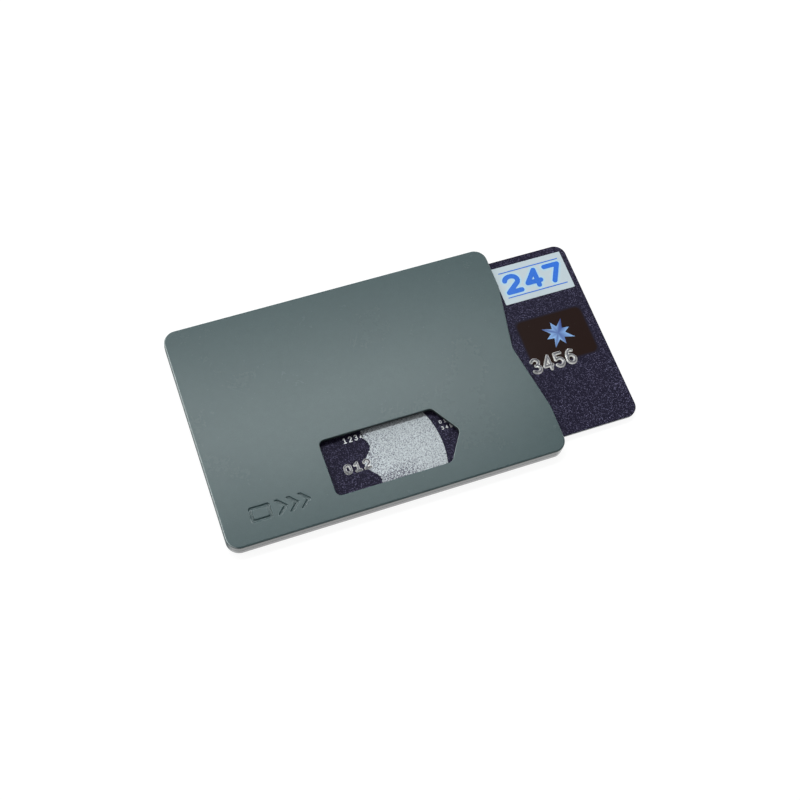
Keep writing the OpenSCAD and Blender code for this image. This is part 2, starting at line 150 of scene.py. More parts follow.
NUMERALS: dict[int, list[list[Pair]]] = {
    0: [bow(0.5, 0.68, 0.5, 0.32, 0, 180) + bow(0.5, 0.32, 0.5, 0.32, 180, 360) + [(1.0, 0.68)]],
    1: [[(0.12, 0.78), (0.56, 1.0), (0.56, 0.0)], [(0.16, 0.0), (0.96, 0.0)]],
    2: [bow(0.5, 0.7, 0.48, 0.3, 165, -35) + [(0.02, 0.0), (1.0, 0.0)]],
    3: [bow(0.47, 0.76, 0.45, 0.24, 150, -90), bow(0.47, 0.26, 0.5, 0.26, 90, -150)],
    4: [[(0.76, 0.0), (0.76, 1.0), (0.0, 0.28), (1.0, 0.28)]],
    5: [[(0.92, 1.0), (0.14, 1.0), (0.08, 0.55)] + bow(0.47, 0.31, 0.5, 0.31, 118, -148)],
    6: [
        bow(0.5, 0.31, 0.48, 0.31, 0, 360, 22),
        [(0.88, 0.94), (0.62, 1.0), (0.3, 0.88), (0.08, 0.62), (0.02, 0.31)],
    ],
    7: [[(0.0, 1.0), (1.0, 1.0), (0.36, 0.0)]],
    8: [bow(0.5, 0.76, 0.42, 0.24, 0, 360, 22), bow(0.5, 0.26, 0.5, 0.26, 0, 360, 22)],
    9: [
        bow(0.5, 0.69, 0.48, 0.31, 0, 360, 22),
        [(0.12, 0.06), (0.38, 0.0), (0.7, 0.12), (0.92, 0.38), (0.98, 0.69)],
    ],
}


@dataclass(frozen=True)
class Cell:
    """The box of one numeral, its stroke and the distance to the next one."""

    width: float
    height: float
    stroke: float
    pitch: float


@dataclass(frozen=True)
class Row:
    """A row of numerals on the card; None leaves a place free."""

    numbers: tuple[int | None, ...]
    cell: Cell
    at: Pair

    def places(self) -> list[tuple[int, Pair]]:
        """Each numeral with its lower left corner."""
        return [
            (n, (self.at[0] + i * self.cell.pitch, self.at[1]))
            for i, n in enumerate(self.numbers)
            if n is not None
        ]

    def segments(self, number: int, place: Pair) -> Array:
        """The middle lines of one numeral.

        Args:
            number: The numeral.
            place: Lower left corner of its cell.

        Returns:
            One row of x, y, x, y for each short piece of the strokes.
        """
        half = self.cell.stroke / 2
        w, h = self.cell.width - 2 * half, self.cell.height - 2 * half
        rows = []
        for line in NUMERALS[number]:
            at = [(place[0] + half + x * w, place[1] + half + y * h) for x, y in line]
            rows += [(*p, *q) for p, q in zip(at, at[1:])]
        return np.array(rows)

    def distance(self, x: Array, y: Array) -> Array:
        """Distance of each point from the row's nearest stroke edge, less than zero inside."""
        best = np.full(np.shape(x), FAR)
        for number, place in self.places():
            best = np.minimum(best, from_lines(self.segments(number, place), x, y))
        return best - self.cell.stroke / 2


def from_lines(lines: Array, x: Array, y: Array) -> Array:
    """Distance of each point from the nearest of some straight pieces.

    Args:
        lines: One row of x, y, x, y for each piece.
        x: The points' x.
        y: The points' y.

    Returns:
        An array of the same shape as x.
    """
    best = np.full(np.shape(x), FAR)
    for ax, ay, bx, by in lines:
        dx, dy = bx - ax, by - ay
        t = np.clip(((x - ax) * dx + (y - ay) * dy) / (dx * dx + dy * dy + 1e-12), 0, 1)
        best = np.minimum(best, np.hypot(x - ax - t * dx, y - ay - t * dy))
    return best


def box_distance(mid: Pair, size: Pair, r: float, x: Array, y: Array) -> Array:
    """Distance from a rounded rectangle, less than zero inside."""
    qx = np.abs(x - mid[0]) - size[0] / 2 + r
    qy = np.abs(y - mid[1]) - size[1] / 2 + r
    return np.hypot(np.maximum(qx, 0), np.maximum(qy, 0)) + np.minimum(np.maximum(qx, qy), 0) - r


def enclosed(loop: Sequence[Pair], at: Array) -> Array:
    """Tells which points lie inside a closed loop.

    Args:
        loop: The loop's corners.
        at: One point a row.

    Returns:
        1 for each point inside and 0 for the others.
    """
    inside = np.zeros(len(at), dtype=int)
    for (ax, ay), (bx, by) in zip(loop, [*loop[1:], loop[0]]):
        if ay != by:
            crosses = (ay > at[:, 1]) != (by > at[:, 1])
            reach = ax + (at[:, 1] - ay) * (bx - ax) / (by - ay)
            inside ^= (crosses & (at[:, 0] < reach)).astype(int)
    return inside


def smooth(t: Array) -> Array:
    """A soft step from 0 to 1."""
    t = np.clip(t, 0, 1)
    return t * t * (3 - 2 * t)


# Meshes.


SAME_POINT = 2e-7
NO_LENGTH = 1e-8
FLAT = math.radians(0.5)


@dataclass
class Shape:
    """A mesh in the making: points in millimetres, faces by point number and a tag per point."""

    points: list[Triple] = field(default_factory=list)
    tags: list[float] = field(default_factory=list)
    faces: list[Sequence[int]] = field(default_factory=list)

    def add(self, x: float, y: float, z: float, tag: float = 0.0) -> int:
        """Adds a point and returns its number."""
        self.points.append((x, y, z))
        self.tags.append(tag)
        return len(self.points) - 1

    def ring(self, outline: Outline, z: float, tag: float = 0.0) -> Loop:
        """Adds the points of an outline at one height and returns their numbers."""
        return [self.add(x, y, z, tag) for x, y in outline.points()[0]]

    def band(self, a: Loop, b: Loop, closed: bool = True) -> None:
        """Joins two lines of points with four-sided faces.

        Args:
            a: The first line.
            b: The second, with as many points.
            closed: Whether the last points join the first.
        """
        n = len(a)
        for i in range(n if closed else n - 1):
            k = (i + 1) % n
            self.faces.append((a[i], a[k], b[k], b[i]))

    def sheet(self, *loops: Loop) -> None:
        """Fills a flat region between closed loops, with holes where they lie inside each other."""
        ids = [i for loop in loops for i in loop]
        edges, start = [], 0
        for loop in loops:
            n = len(loop)
            edges += [(start + k, start + (k + 1) % n) for k in range(n)]
            start += n
        flat = [Vector(self.points[i][:2]) for i in ids]
        made = delaunay_2d_cdt(flat, edges, [], 1, 1e-6)
        own = {}
        for k, source in enumerate(made[3]):
            own[k] = ids[source[0]] if source else self.add(*made[0][k], self.points[ids[0]][2])
        mid = np.array([np.mean([made[0][k][:] for k in face], axis=0) for face in made[2]])
        held = sum(enclosed([self.points[i][:2] for i in loop], mid) for loop in loops)
        self.faces += [tuple(own[k] for k in face) for face, n in zip(made[2], held) if n % 2]

    def plate(
        self,
        cover: Region,
        low: Field,
        high: Field,
        tag: Field | None = None,
    ) -> None:
        """Adds a closed plate over a region.

        Args:
            cover: Points and faces in plan.
            low: Height of the underside at x, y.
            high: Height of the top at x, y.
            tag: Value of the tag at x, y.
        """
        plan, faces = cover
        x, y = plan[:, 0], plan[:, 1]
        values = tag(x, y) if tag else np.zeros(len(x))
        under = [self.add(*row) for row in zip(x, y, low(x, y), values)]
        over = [self.add(*row) for row in zip(x, y, high(x, y), values)]
        used: dict[tuple[int, int], int] = {}
        for face in faces:
            self.faces.append([over[i] for i in face])
            self.faces.append([under[i] for i in reversed(face)])
            for a, b in zip(face, [*face[1:], face[0]]):
                key = (min(a, b), max(a, b))
                used[key] = used.get(key, 0) + 1
        for (a, b), count in used.items():
            if count == 1:
                self.faces.append((under[a], under[b], over[b], over[a]))

    def build(self, name: str, crease: float = 35.0, flatten: bool = False) -> bpy.types.Object:
        """Makes the Blender object.

        Args:
            name: Name of the piece.
            crease: Angle in degrees over which an edge is kept sharp.
            flatten: Whether flat areas are joined into large faces.

        Returns:
            The object, at the origin, in metres.
        """
        mesh = bmesh.new()
        layer = mesh.verts.layers.float.new(TAG)
        made = []
        for (x, y, z), tag in zip(self.points, self.tags):
            vert = mesh.verts.new((x * MM, y * MM, z * MM))
            vert[layer] = tag
            made.append(vert)
        for face in self.faces:
            corners = [made[i] for i in dict.fromkeys(face)]
            if len(corners) > 2 and not mesh.faces.get(corners):
                mesh.faces.new(corners)
        bmesh.ops.remove_doubles(mesh, verts=mesh.verts[:], dist=SAME_POINT)
        bmesh.ops.dissolve_degenerate(mesh, dist=NO_LENGTH, edges=mesh.edges[:])
        loose = [v for v in mesh.verts if not v.link_faces]
        bmesh.ops.delete(mesh, geom=loose, context="VERTS")
        if flatten:
            bmesh.ops.dissolve_limit(mesh, angle_limit=FLAT, verts=mesh.verts[:], edges=mesh.edges[:])
        bmesh.ops.recalc_face_normals(mesh, faces=mesh.faces[:])
        open_edges = sum(1 for e in mesh.edges if len(e.link_faces) != 2)
        data = bpy.data.meshes.new(name)
        mesh.to_mesh(data)
        mesh.free()
        data.shade_smooth()
        data.set_sharp_from_angle(angle=math.radians(crease))
        obj = bpy.data.objects.new(name, data)
        bpy.context.scene.collection.objects.link(obj)
        LOG.info("%s: %d faces, %d open edges", name, len(data.polygons), open_edges)
        return obj


def region(
    inside: Field, low: Pair, high: Pair, step: float
) -> Region:
    """Covers the part of a rectangle where a function is under zero, up to its exact edge.

    Args:
        inside: The function of x and y.
        low: Lower left corner of the rectangle.
        high: Upper right corner.
        step: Size of a cell.

    Returns:
        The points in plan and the faces over them.
    """
    nx = max(1, round((high[0] - low[0]) / step))
    ny = max(1, round((high[1] - low[1]) / step))
    xs, ys = np.linspace(low[0], high[0], nx + 1), np.linspace(low[1], high[1], ny + 1)
    grid_x, grid_y = np.meshgrid(xs, ys)
    value = inside(grid_x, grid_y)
    least = step * 0.02
    value = np.where(np.abs(value) < least, -least, value)
    points: list[Pair] = []
    known: dict[tuple, int] = {}

    def corner(j: int, i: int) -> int:
        """Number of a grid point."""
        if (j, i) not in known:
            known[j, i] = len(points)
            points.append((xs[i], ys[j]))
        return known[j, i]

    def crossing(j: int, i: int, m: int, k: int) -> int:
        """Number of the point where the edge between two grid points is crossed."""
        key = (*sorted(((j, i), (m, k))),)
        if key not in known:
            t = value[j, i] / (value[j, i] - value[m, k])
            known[key] = len(points)
            points.append((xs[i] + t * (xs[k] - xs[i]), ys[j] + t * (ys[m] - ys[j])))
        return known[key]

    faces: list[Sequence[int]] = []
    for j in range(ny):
        for i in range(nx):
            around = ((j, i), (j, i + 1), (j + 1, i + 1), (j + 1, i))
            held = [value[p] < 0 for p in around]
            if not any(held):
                continue
            face = []
            for n, p in enumerate(around):
                q = around[(n + 1) % 4]
                if held[n]:
                    face.append(corner(*p))
                if held[n] != held[(n + 1) % 4]:
                    face.append(crossing(*p, *q))
            if len(face) > 2:
                faces.append(face)
    return np.array(points), faces


# Shader node groups.


NUMBER = "NodeSocketFloat"


class Graph:
    """Short forms for adding nodes to one node tree and joining them."""

    def __init__(self, tree: bpy.types.NodeTree) -> None:
        """Keeps the tree that the nodes go into."""
        self.tree = tree

    def add(self, kind: str, inputs: dict | None = None, **settings: object) -> bpy.types.Node:
        """Adds one node.

        Args:
            kind: Blender's name of the node.
            inputs: Values or sockets for its inputs, by name or number.
            settings: Its own settings.

        Returns:
            The node.
        """
        node = self.tree.nodes.new(kind)
        for key, value in settings.items():
            setattr(node, key, value)
        for key, value in (inputs or {}).items():
            self.feed(node.inputs[key], value)
        return node

    def feed(self, socket: Socket, value: object) -> None:
        """Joins a socket to another one, or sets its value."""
        if isinstance(value, Socket):
            self.tree.links.new(value, socket)
        else:
            socket.default_value = value

    def math(self, operation: str, a: object, b: object = 0.0, clamp: bool = False) -> Socket:
        """One sum on two values or sockets; returns its result."""
        return self.add("ShaderNodeMath", {0: a, 1: b}, operation=operation, use_clamp=clamp).outputs[0]

    def times(self, a: object, b: object, clamp: bool = False) -> Socket:
        """The product of two values or sockets."""
        return self.math("MULTIPLY", a, b, clamp)

    def mix(self, share: object, a: object, b: object) -> Socket:
        """Mixes two colours; returns the result."""
        return self.add("ShaderNodeMix", {0: share, 6: a, 7: b}, data_type="RGBA").outputs[2]

    def parts(self, vector: object) -> list[Socket]:
        """The X, Y and Z of a vector."""
        return list(self.add("ShaderNodeSeparateXYZ", {0: vector}).outputs)

    def vector(self, operation: str, a: object, b: object = (0, 0, 0)) -> Socket:
        """One sum on two vectors, or on a vector and its scale; returns its result."""
        inputs = {0: a, "Scale" if operation == "SCALE" else 1: b}
        return self.add("ShaderNodeVectorMath", inputs, operation=operation).outputs[0]

    def tagged(self) -> Socket:
        """The tag that the mesh carries at each point."""
        return self.add("ShaderNodeAttribute", attribute_name=TAG).outputs["Fac"]

    def span(self, value: object, low: float, high: float, to: Pair = (0.0, 1.0)) -> Socket:
        """Spreads low to high over another range, and holds it there; returns the result."""
        inputs = {"Value": value, "From Min": low, "From Max": high, "To Min": to[0], "To Max": to[1]}
        return self.add("ShaderNodeMapRange", inputs).outputs[0]

    def place(self, stretch: Triple = (1, 1, 1), turn: float = 0.0) -> Socket:
        """The object's own coordinates, turned about Z and stretched."""
        at = self.add("ShaderNodeTexCoord").outputs["Object"]
        if turn:
            turned = {"Vector": at, "Rotation": (0, 0, math.radians(turn))}
            at = self.add("ShaderNodeMapping", turned).outputs[0]
        if stretch != (1, 1, 1):
            at = self.add("ShaderNodeMapping", {"Vector": at, "Scale": stretch}).outputs[0]
        return at

    def noise(self, at: object, scale: object, detail: float = 2.0, rough: float = 0.5) -> Socket:
        """Noise from 0 to 1; returns its value."""
        inputs = {"Vector": at, "Scale": scale, "Detail": detail, "Roughness": rough}
        return self.add("ShaderNodeTexNoise", inputs).outputs[0]


def new_group(name: str, inputs: dict[str, float], outputs: dict[str, str]) -> tuple[Graph, dict, dict]:
    """Starts a shader node group.

    Args:
        name: Name of the group.
        inputs: Its number inputs with their defaults.
        outputs: Its outputs with their socket types.

    Returns:
        The graph inside it, its input sockets and its output sockets, by name.
    """
    tree = bpy.data.node_groups.new(name, "ShaderNodeTree")
    for key, value in inputs.items():
        socket = tree.interface.new_socket(key, in_out="INPUT", socket_type=NUMBER)
        socket.default_value = value
    for key, kind in outputs.items():
        tree.interface.new_socket(key, in_out="OUTPUT", socket_type=kind)
    graph = Graph(tree)
    into, out = graph.add("NodeGroupInput"), graph.add("NodeGroupOutput")
    return graph, {k: into.outputs[k] for k in inputs}, {k: out.inputs[k] for k in outputs}


# The tag is above 0 on rubbed edges, which the shell paints lighter as rubbing and as a painted
# highlight, and on the parts that a finish shades in its second colour.
TAG = "edge"
# The tag of walls that hardly any light reaches; the shell paints them near black as painted shade.
SHELTERED = -1.0
# Near black, for painted shade on the end walls and on the window's sheltered walls.
PAINTED_SHADE = (0.01, 0.012, 0.013, 1)
# Light grey, for a painted highlight along the closed end's top rim.
PAINTED_RIM_HIGHLIGHT = (0.42, 0.46, 0.46, 1)
DUST_GREY = (0.62, 0.61, 0.58, 1)


class Effects:
    """The shader node groups that several finishes share, each built once."""

    def __init__(self) -> None:
        """Builds all the groups."""
        self.grain = self._grain()
        self.mottle = self._mottle()
        self.wear_and_highlight = self._wear()
        self.scratches = self._scratches()
        self.dust = self._dust()
        self.flakes = self._flakes()
        self.lines = self._lines()

    def _grain(self) -> bpy.types.NodeTree:
        """Even fine pits and a softer waviness under them."""
        g, given, out = new_group("fine grain", {"Scale": 4000.0, "Waviness": 0.3}, {"Height": NUMBER})
        at = g.place()
        pits = g.noise(at, given["Scale"], 3.0, 0.6)
        waves = g.noise(at, g.times(given["Scale"], 0.12), 2.0)
        g.feed(out["Height"], g.math("ADD", pits, g.times(waves, given["Waviness"])))
        return g.tree

    def _mottle(self) -> bpy.types.NodeTree:
        """Broad, weak changes of tone."""
        g, given, out = new_group("mottle", {"Scale": 60.0, "Fine": 0.35}, {"Tone": NUMBER})
        at = g.place()
        broad = g.noise(at, given["Scale"], 3.0)
        fine = g.noise(at, g.times(given["Scale"], 14.0), 4.0, 0.7)
        fine = g.times(g.math("SUBTRACT", fine, 0.5), given["Fine"])
        g.feed(out["Tone"], g.math("ADD", broad, fine, clamp=True))
        return g.tree

    def _wear(self) -> bpy.types.NodeTree:
        """Rubbed, lighter patches along the edges that the mesh marks, also a painted highlight."""
        g, given, out = new_group("edge wear", {"Amount": 0.5, "Scale": 500.0}, {"Mask": NUMBER})
        broken = g.span(g.noise(g.place(), given["Scale"], 4.0, 0.65), 0.35, 0.65)
        rubbed = g.times(g.tagged(), g.math("ADD", g.times(broken, 0.75), 0.25))
        g.feed(out["Mask"], g.times(rubbed, given["Amount"], clamp=True))
        return g.tree

    def _scratches(self) -> bpy.types.NodeTree:
        """Hair lines from handling, in two directions."""
        g, given, out = new_group("hair scratches", {"Scale": 300.0, "Amount": 0.5}, {"Mask": NUMBER})
        total: object = 0.0
        for turn in (24.0, -52.0):
            at = g.place((1.0, 0.035, 0.2), turn)
            line = g.noise(at, given["Scale"], 1.0)
            line = g.math("ABSOLUTE", g.math("SUBTRACT", line, 0.5))
            line = g.span(line, 0.0, 0.008, (1.0, 0.0))
            coarse = g.times(given["Scale"], 0.3)
            gate = g.span(g.noise(g.place((1, 1, 1), turn), coarse), 0.5, 0.7)
            total = g.math("MAXIMUM", total, g.times(line, gate))
        g.feed(out["Mask"], g.times(total, given["Amount"], clamp=True))
        return g.tree

    def _dust(self) -> bpy.types.NodeTree:
        """Sparse light specks."""
        g, given, out = new_group("dust", {"Scale": 900.0, "Amount": 0.3}, {"Mask": NUMBER})
        cell = g.add("ShaderNodeTexVoronoi", {"Vector": g.place(), "Scale": given["Scale"]})
        speck = g.span(cell.outputs["Distance"], 0.06, 0.16, (1.0, 0.0))
        pick = g.add("ShaderNodeSeparateColor", {0: cell.outputs["Color"]}).outputs[0]
        chosen = g.span(pick, 0.9, 0.91)
        g.feed(out["Mask"], g.times(g.times(speck, chosen), given["Amount"]))
        return g.tree

    def _flakes(self) -> bpy.types.NodeTree:
        """Small flat flakes, each with a tone and a tilt of its own."""
        kinds = {"Mask": NUMBER, "Tone": NUMBER, "Tilt": "NodeSocketVector"}
        g, given, out = new_group("flakes", {"Scale": 5000.0, "Share": 0.3}, kinds)
        cell = g.add("ShaderNodeTexVoronoi", {"Vector": g.place(), "Scale": given["Scale"]})
        parts = g.add("ShaderNodeSeparateColor", {0: cell.outputs["Color"]}).outputs
        chosen = g.math("LESS_THAN", parts[0], given["Share"])
        g.feed(out["Mask"], chosen)
        g.feed(out["Tone"], parts[1])
        normal = g.add("ShaderNodeNewGeometry").outputs["Normal"]
        lean = g.vector("SUBTRACT", cell.outputs["Color"], (0.5, 0.5, 0.5))
        tilt = g.vector("ADD", normal, g.vector("SCALE", lean, 0.9))
        g.feed(out["Tilt"], g.vector("NORMALIZE", tilt))
        return g.tree

    def _lines(self) -> bpy.types.NodeTree:
        """Long fine lines along X, as rolling, drawing or brushing leaves."""
        g, given, out = new_group("drawn lines", {"Scale": 5000.0, "Break": 0.4}, {"Height": NUMBER})
        long = g.noise(g.place((0.012, 1.0, 1.0)), given["Scale"], 3.0, 0.6)
        broken = g.noise(g.place((0.2, 1.0, 1.0)), g.times(given["Scale"], 0.4), 2.0)
        g.feed(out["Height"], g.math("ADD", long, g.times(broken, given["Break"])))
        return g.tree


class Pattern(Enum):
    """What a finish shows close up."""

    MOULDED = "moulded"
    ROLLED = "rolled"
    LAMINATE = "laminate"
    LAYERED = "layered"
    WOVEN = "woven"
    CAST = "cast"
    COARSE = "coarse"
    HALO = "halo"
    FACETED = "faceted"
    GRATED = "grated"
    RULED = "ruled"


@dataclass(frozen=True)
class Finish:
    """One surface finish: its colours, gloss and relief, and what it shows close up.

    The swing is how far the roughness varies, the relief is the bump's height in metres, and the
    cloud is the depth of broad dark patches. A side over 0 is the roughness of the long walls; it
    also brings painted shade on the end and sheltered walls and a painted highlight on the closed
    end's top rim.
    """

    slot: str
    pattern: Pattern
    colour: Triple
    second: Triple
    share: float = 0.5
    scale: float = 2000.0
    roughness: float = 0.5
    swing: float = 0.1
    relief: float = 4e-6
    metallic: float = 0.0
    specular: float = 0.5
    coat: float = 0.0
    cloud: float = 0.1
    side: float = 0.0
    wear_and_highlight: float = 0.0
    # Colour of rubbed edges, lighter than the plastic: real rubbing and a painted highlight.
    worn_highlight: Triple = (0.6, 0.6, 0.6)
    dust: float = 0.06
    scratches: float = 0.0

    def material(self, effects: Effects) -> bpy.types.Material:
        """Builds the material.

        Args:
            effects: The shared node groups.

        Returns:
            The material, named after the slot and the pattern.
        """
        made = bpy.data.materials.new(f"{self.slot}_{self.pattern.value}")
        made.use_nodes = True
        g = Graph(made.node_tree)
        shader = made.node_tree.nodes["Principled BSDF"]
        mask, height, normal = self._pattern(g, effects)
        tone = self._group(g, effects.mottle, {"Scale": 55.0}).outputs["Tone"]
        base = g.mix(mask, (*self.colour, 1), (*self.second, 1))
        darker = (*[c * 0.6 for c in self.colour], 1)
        base = g.mix(g.span(tone, 0.3, 0.7, (0.0, self.cloud)), base, darker)
        rough = g.span(tone, 0.2, 0.8, (self.roughness - self.swing, self.roughness + self.swing))
        if self.side:
            base, rough, coat = self._sides(g, base, rough)
            g.feed(shader.inputs["Coat Weight"], coat)
        if self.wear_and_highlight:
            rub_and_highlight = self._group(g, effects.wear_and_highlight, {"Amount": self.wear_and_highlight}).outputs["Mask"]
            base = g.mix(rub_and_highlight, base, (*self.worn_highlight, 1))
            rough = g.math("SUBTRACT", rough, g.times(rub_and_highlight, 0.12))
        if self.scratches:
            lines = self._group(g, effects.scratches, {"Amount": self.scratches}).outputs["Mask"]
            pale = (*[min(1, c * 1.5 + 0.03) for c in self.colour], 1)
            base = g.mix(g.times(lines, 0.35), base, pale)
            rough = g.math("ADD", rough, g.times(lines, 0.15))
            height = g.math("SUBTRACT", height, g.times(lines, 0.5))
        if self.dust:
            specks = self._group(g, effects.dust, {"Amount": self.dust}).outputs["Mask"]
            base = g.mix(specks, base, DUST_GREY)
            rough = g.math("ADD", rough, specks)
        bump = {"Height": height, "Distance": self.relief, "Strength": 1.0}
        if normal is not None:
            bump["Normal"] = normal
        g.feed(shader.inputs["Base Color"], base)
        g.feed(shader.inputs["Roughness"], g.math("MAXIMUM", rough, 0.05))
        g.feed(shader.inputs["Normal"], g.add("ShaderNodeBump", bump).outputs[0])
        shader.inputs["Metallic"].default_value = self.metallic
        shader.inputs["Specular IOR Level"].default_value = self.specular
        shader.inputs["Coat Roughness"].default_value = 0.12
        if self.pattern is Pattern.LAMINATE:
            g.feed(shader.inputs["Metallic"], g.times(mask, 0.5))
        return made

    def _sides(self, g: Graph, base: object, rough: object) -> tuple[object, object, object]:
        """Sets off the long sides, paints shade on the ends and sheltered walls and a highlight on the
        closed rim.

        Args:
            g: The material's graph.
            base: The base colour so far.
            rough: The roughness so far.

        Returns:
            The base colour, the roughness and the coat's weight.
        """
        facing = g.parts(g.add("ShaderNodeTexCoord").outputs["Normal"])
        upright = g.span(g.math("ABSOLUTE", facing[2]), 0.1, 0.4, (1.0, 0.0))
        # Walls that face the ends (+X or -X), which the shell paints darker as painted shade.
        end = g.times(upright, g.span(g.math("ABSOLUTE", facing[1]), 0.3, 0.8, (1.0, 0.0)))
        # The top rim that faces -X, which the shell paints light as a painted highlight.
        rim = g.times(g.span(facing[2], 0.5, 0.7), g.span(facing[0], -0.15, -0.35))
        open_to_light = g.span(g.tagged(), SHELTERED, 0.0)
        sheltered_shade = g.math("SUBTRACT", 1.0, open_to_light)
        glossy = g.times(g.math("SUBTRACT", upright, end), open_to_light)
        # Painted highlight on the rim; painted shade on the end walls and on the sheltered walls.
        for share, amount, colour in ((rim, 0.6, PAINTED_RIM_HIGHLIGHT), (end, 0.5, PAINTED_SHADE), (sheltered_shade, 0.75, PAINTED_SHADE)):
            base = g.mix(g.times(share, amount), base, colour)
        for share, amount in ((end, 0.3), (sheltered_shade, 0.4), (glossy, self.side - self.roughness)):
            rough = g.math("ADD", rough, g.times(share, amount))
        return base, rough, g.times(glossy, self.coat)

    @staticmethod
    def _group(g: Graph, tree: bpy.types.NodeTree, values: dict) -> bpy.types.Node:
        """Places a shared group with this finish's own values."""
        return g.add("ShaderNodeGroup", values, node_tree=tree)

    @staticmethod
    def _wave(g: Graph, at: object, length: float) -> Socket:
        """A sine wave along one coordinate, with its length in metres."""
        return g.math("SINE", g.times(at, 2 * math.pi / length))

    def _pattern(self, g: Graph, effects: Effects) -> tuple:
        """Builds what the finish shows close up.

        Args:
            g: The material's graph.
            effects: The shared node groups.

        Returns:
            The share of the second colour, the height for the bump, and a normal or None.
        """
        edge = g.tagged()
        grain = self._group(g, effects.grain, {"Scale": self.scale}).outputs["Height"]
        normal = None
        if self.pattern is Pattern.MOULDED:
            mask = g.times(g.span(grain, 0.45, 0.9), self.share)
        elif self.pattern in (Pattern.ROLLED, Pattern.RULED):
            grain = self._group(g, effects.lines, {"Scale": self.scale}).outputs["Height"]
            mask = g.times(g.span(grain, 0.5, 0.9), self.share)
            if self.pattern is Pattern.RULED:
                wave = self._wave(g, g.parts(g.place())[1], 0.0011)
                mask = g.times(g.span(wave, 0.75, 0.95), self.share)
        elif self.pattern is Pattern.LAMINATE:
            flakes = self._group(g, effects.flakes, {"Scale": self.scale, "Share": self.share})
            shine = g.span(flakes.outputs["Tone"], 0.0, 1.0, (0.15, 1.0))
            mask = g.times(flakes.outputs["Mask"], shine)
            flat = g.add("ShaderNodeNewGeometry").outputs["Normal"]
            both = {0: mask, 4: flat, 5: flakes.outputs["Tilt"]}
            normal = g.add("ShaderNodeMix", both, data_type="VECTOR").outputs[1]
        elif self.pattern is Pattern.LAYERED:
            grain = g.noise(g.place((0.02, 0.02, 1.0)), 9000.0)
            mask = g.times(g.span(grain, 0.4, 0.6), self.share)
        elif self.pattern is Pattern.WOVEN:
            at = g.parts(g.place())
            grain = g.times(self._wave(g, at[0], 0.0006), self._wave(g, at[1], 0.0006))
            mask = g.times(g.span(grain, -0.3, 0.3), self.share)
        elif self.pattern is Pattern.COARSE:
            spots = g.noise(g.place(), self.scale, 4.0, 0.8)
            limit = g.span(edge, 0.0, 1.0, (0.56, 0.42))
            mask = g.times(g.math("SUBTRACT", spots, limit), 5.0, clamp=True)
            haze = g.span(spots, 0.4, 0.6, (0.0, 0.62))
            mask = g.math("ADD", g.times(mask, self.share), haze, clamp=True)
        elif self.pattern in (Pattern.HALO, Pattern.FACETED):
            mask = g.times(edge, self.share)
        elif self.pattern is Pattern.GRATED:
            grain = self._wave(g, g.parts(g.place(turn=35.0))[0], 0.0003)
            mask = g.times(g.span(edge, 0.0, 1.0), self.share)
        else:
            mask = g.times(g.span(grain, 0.5, 0.8), self.share)
        return mask, grain, normal


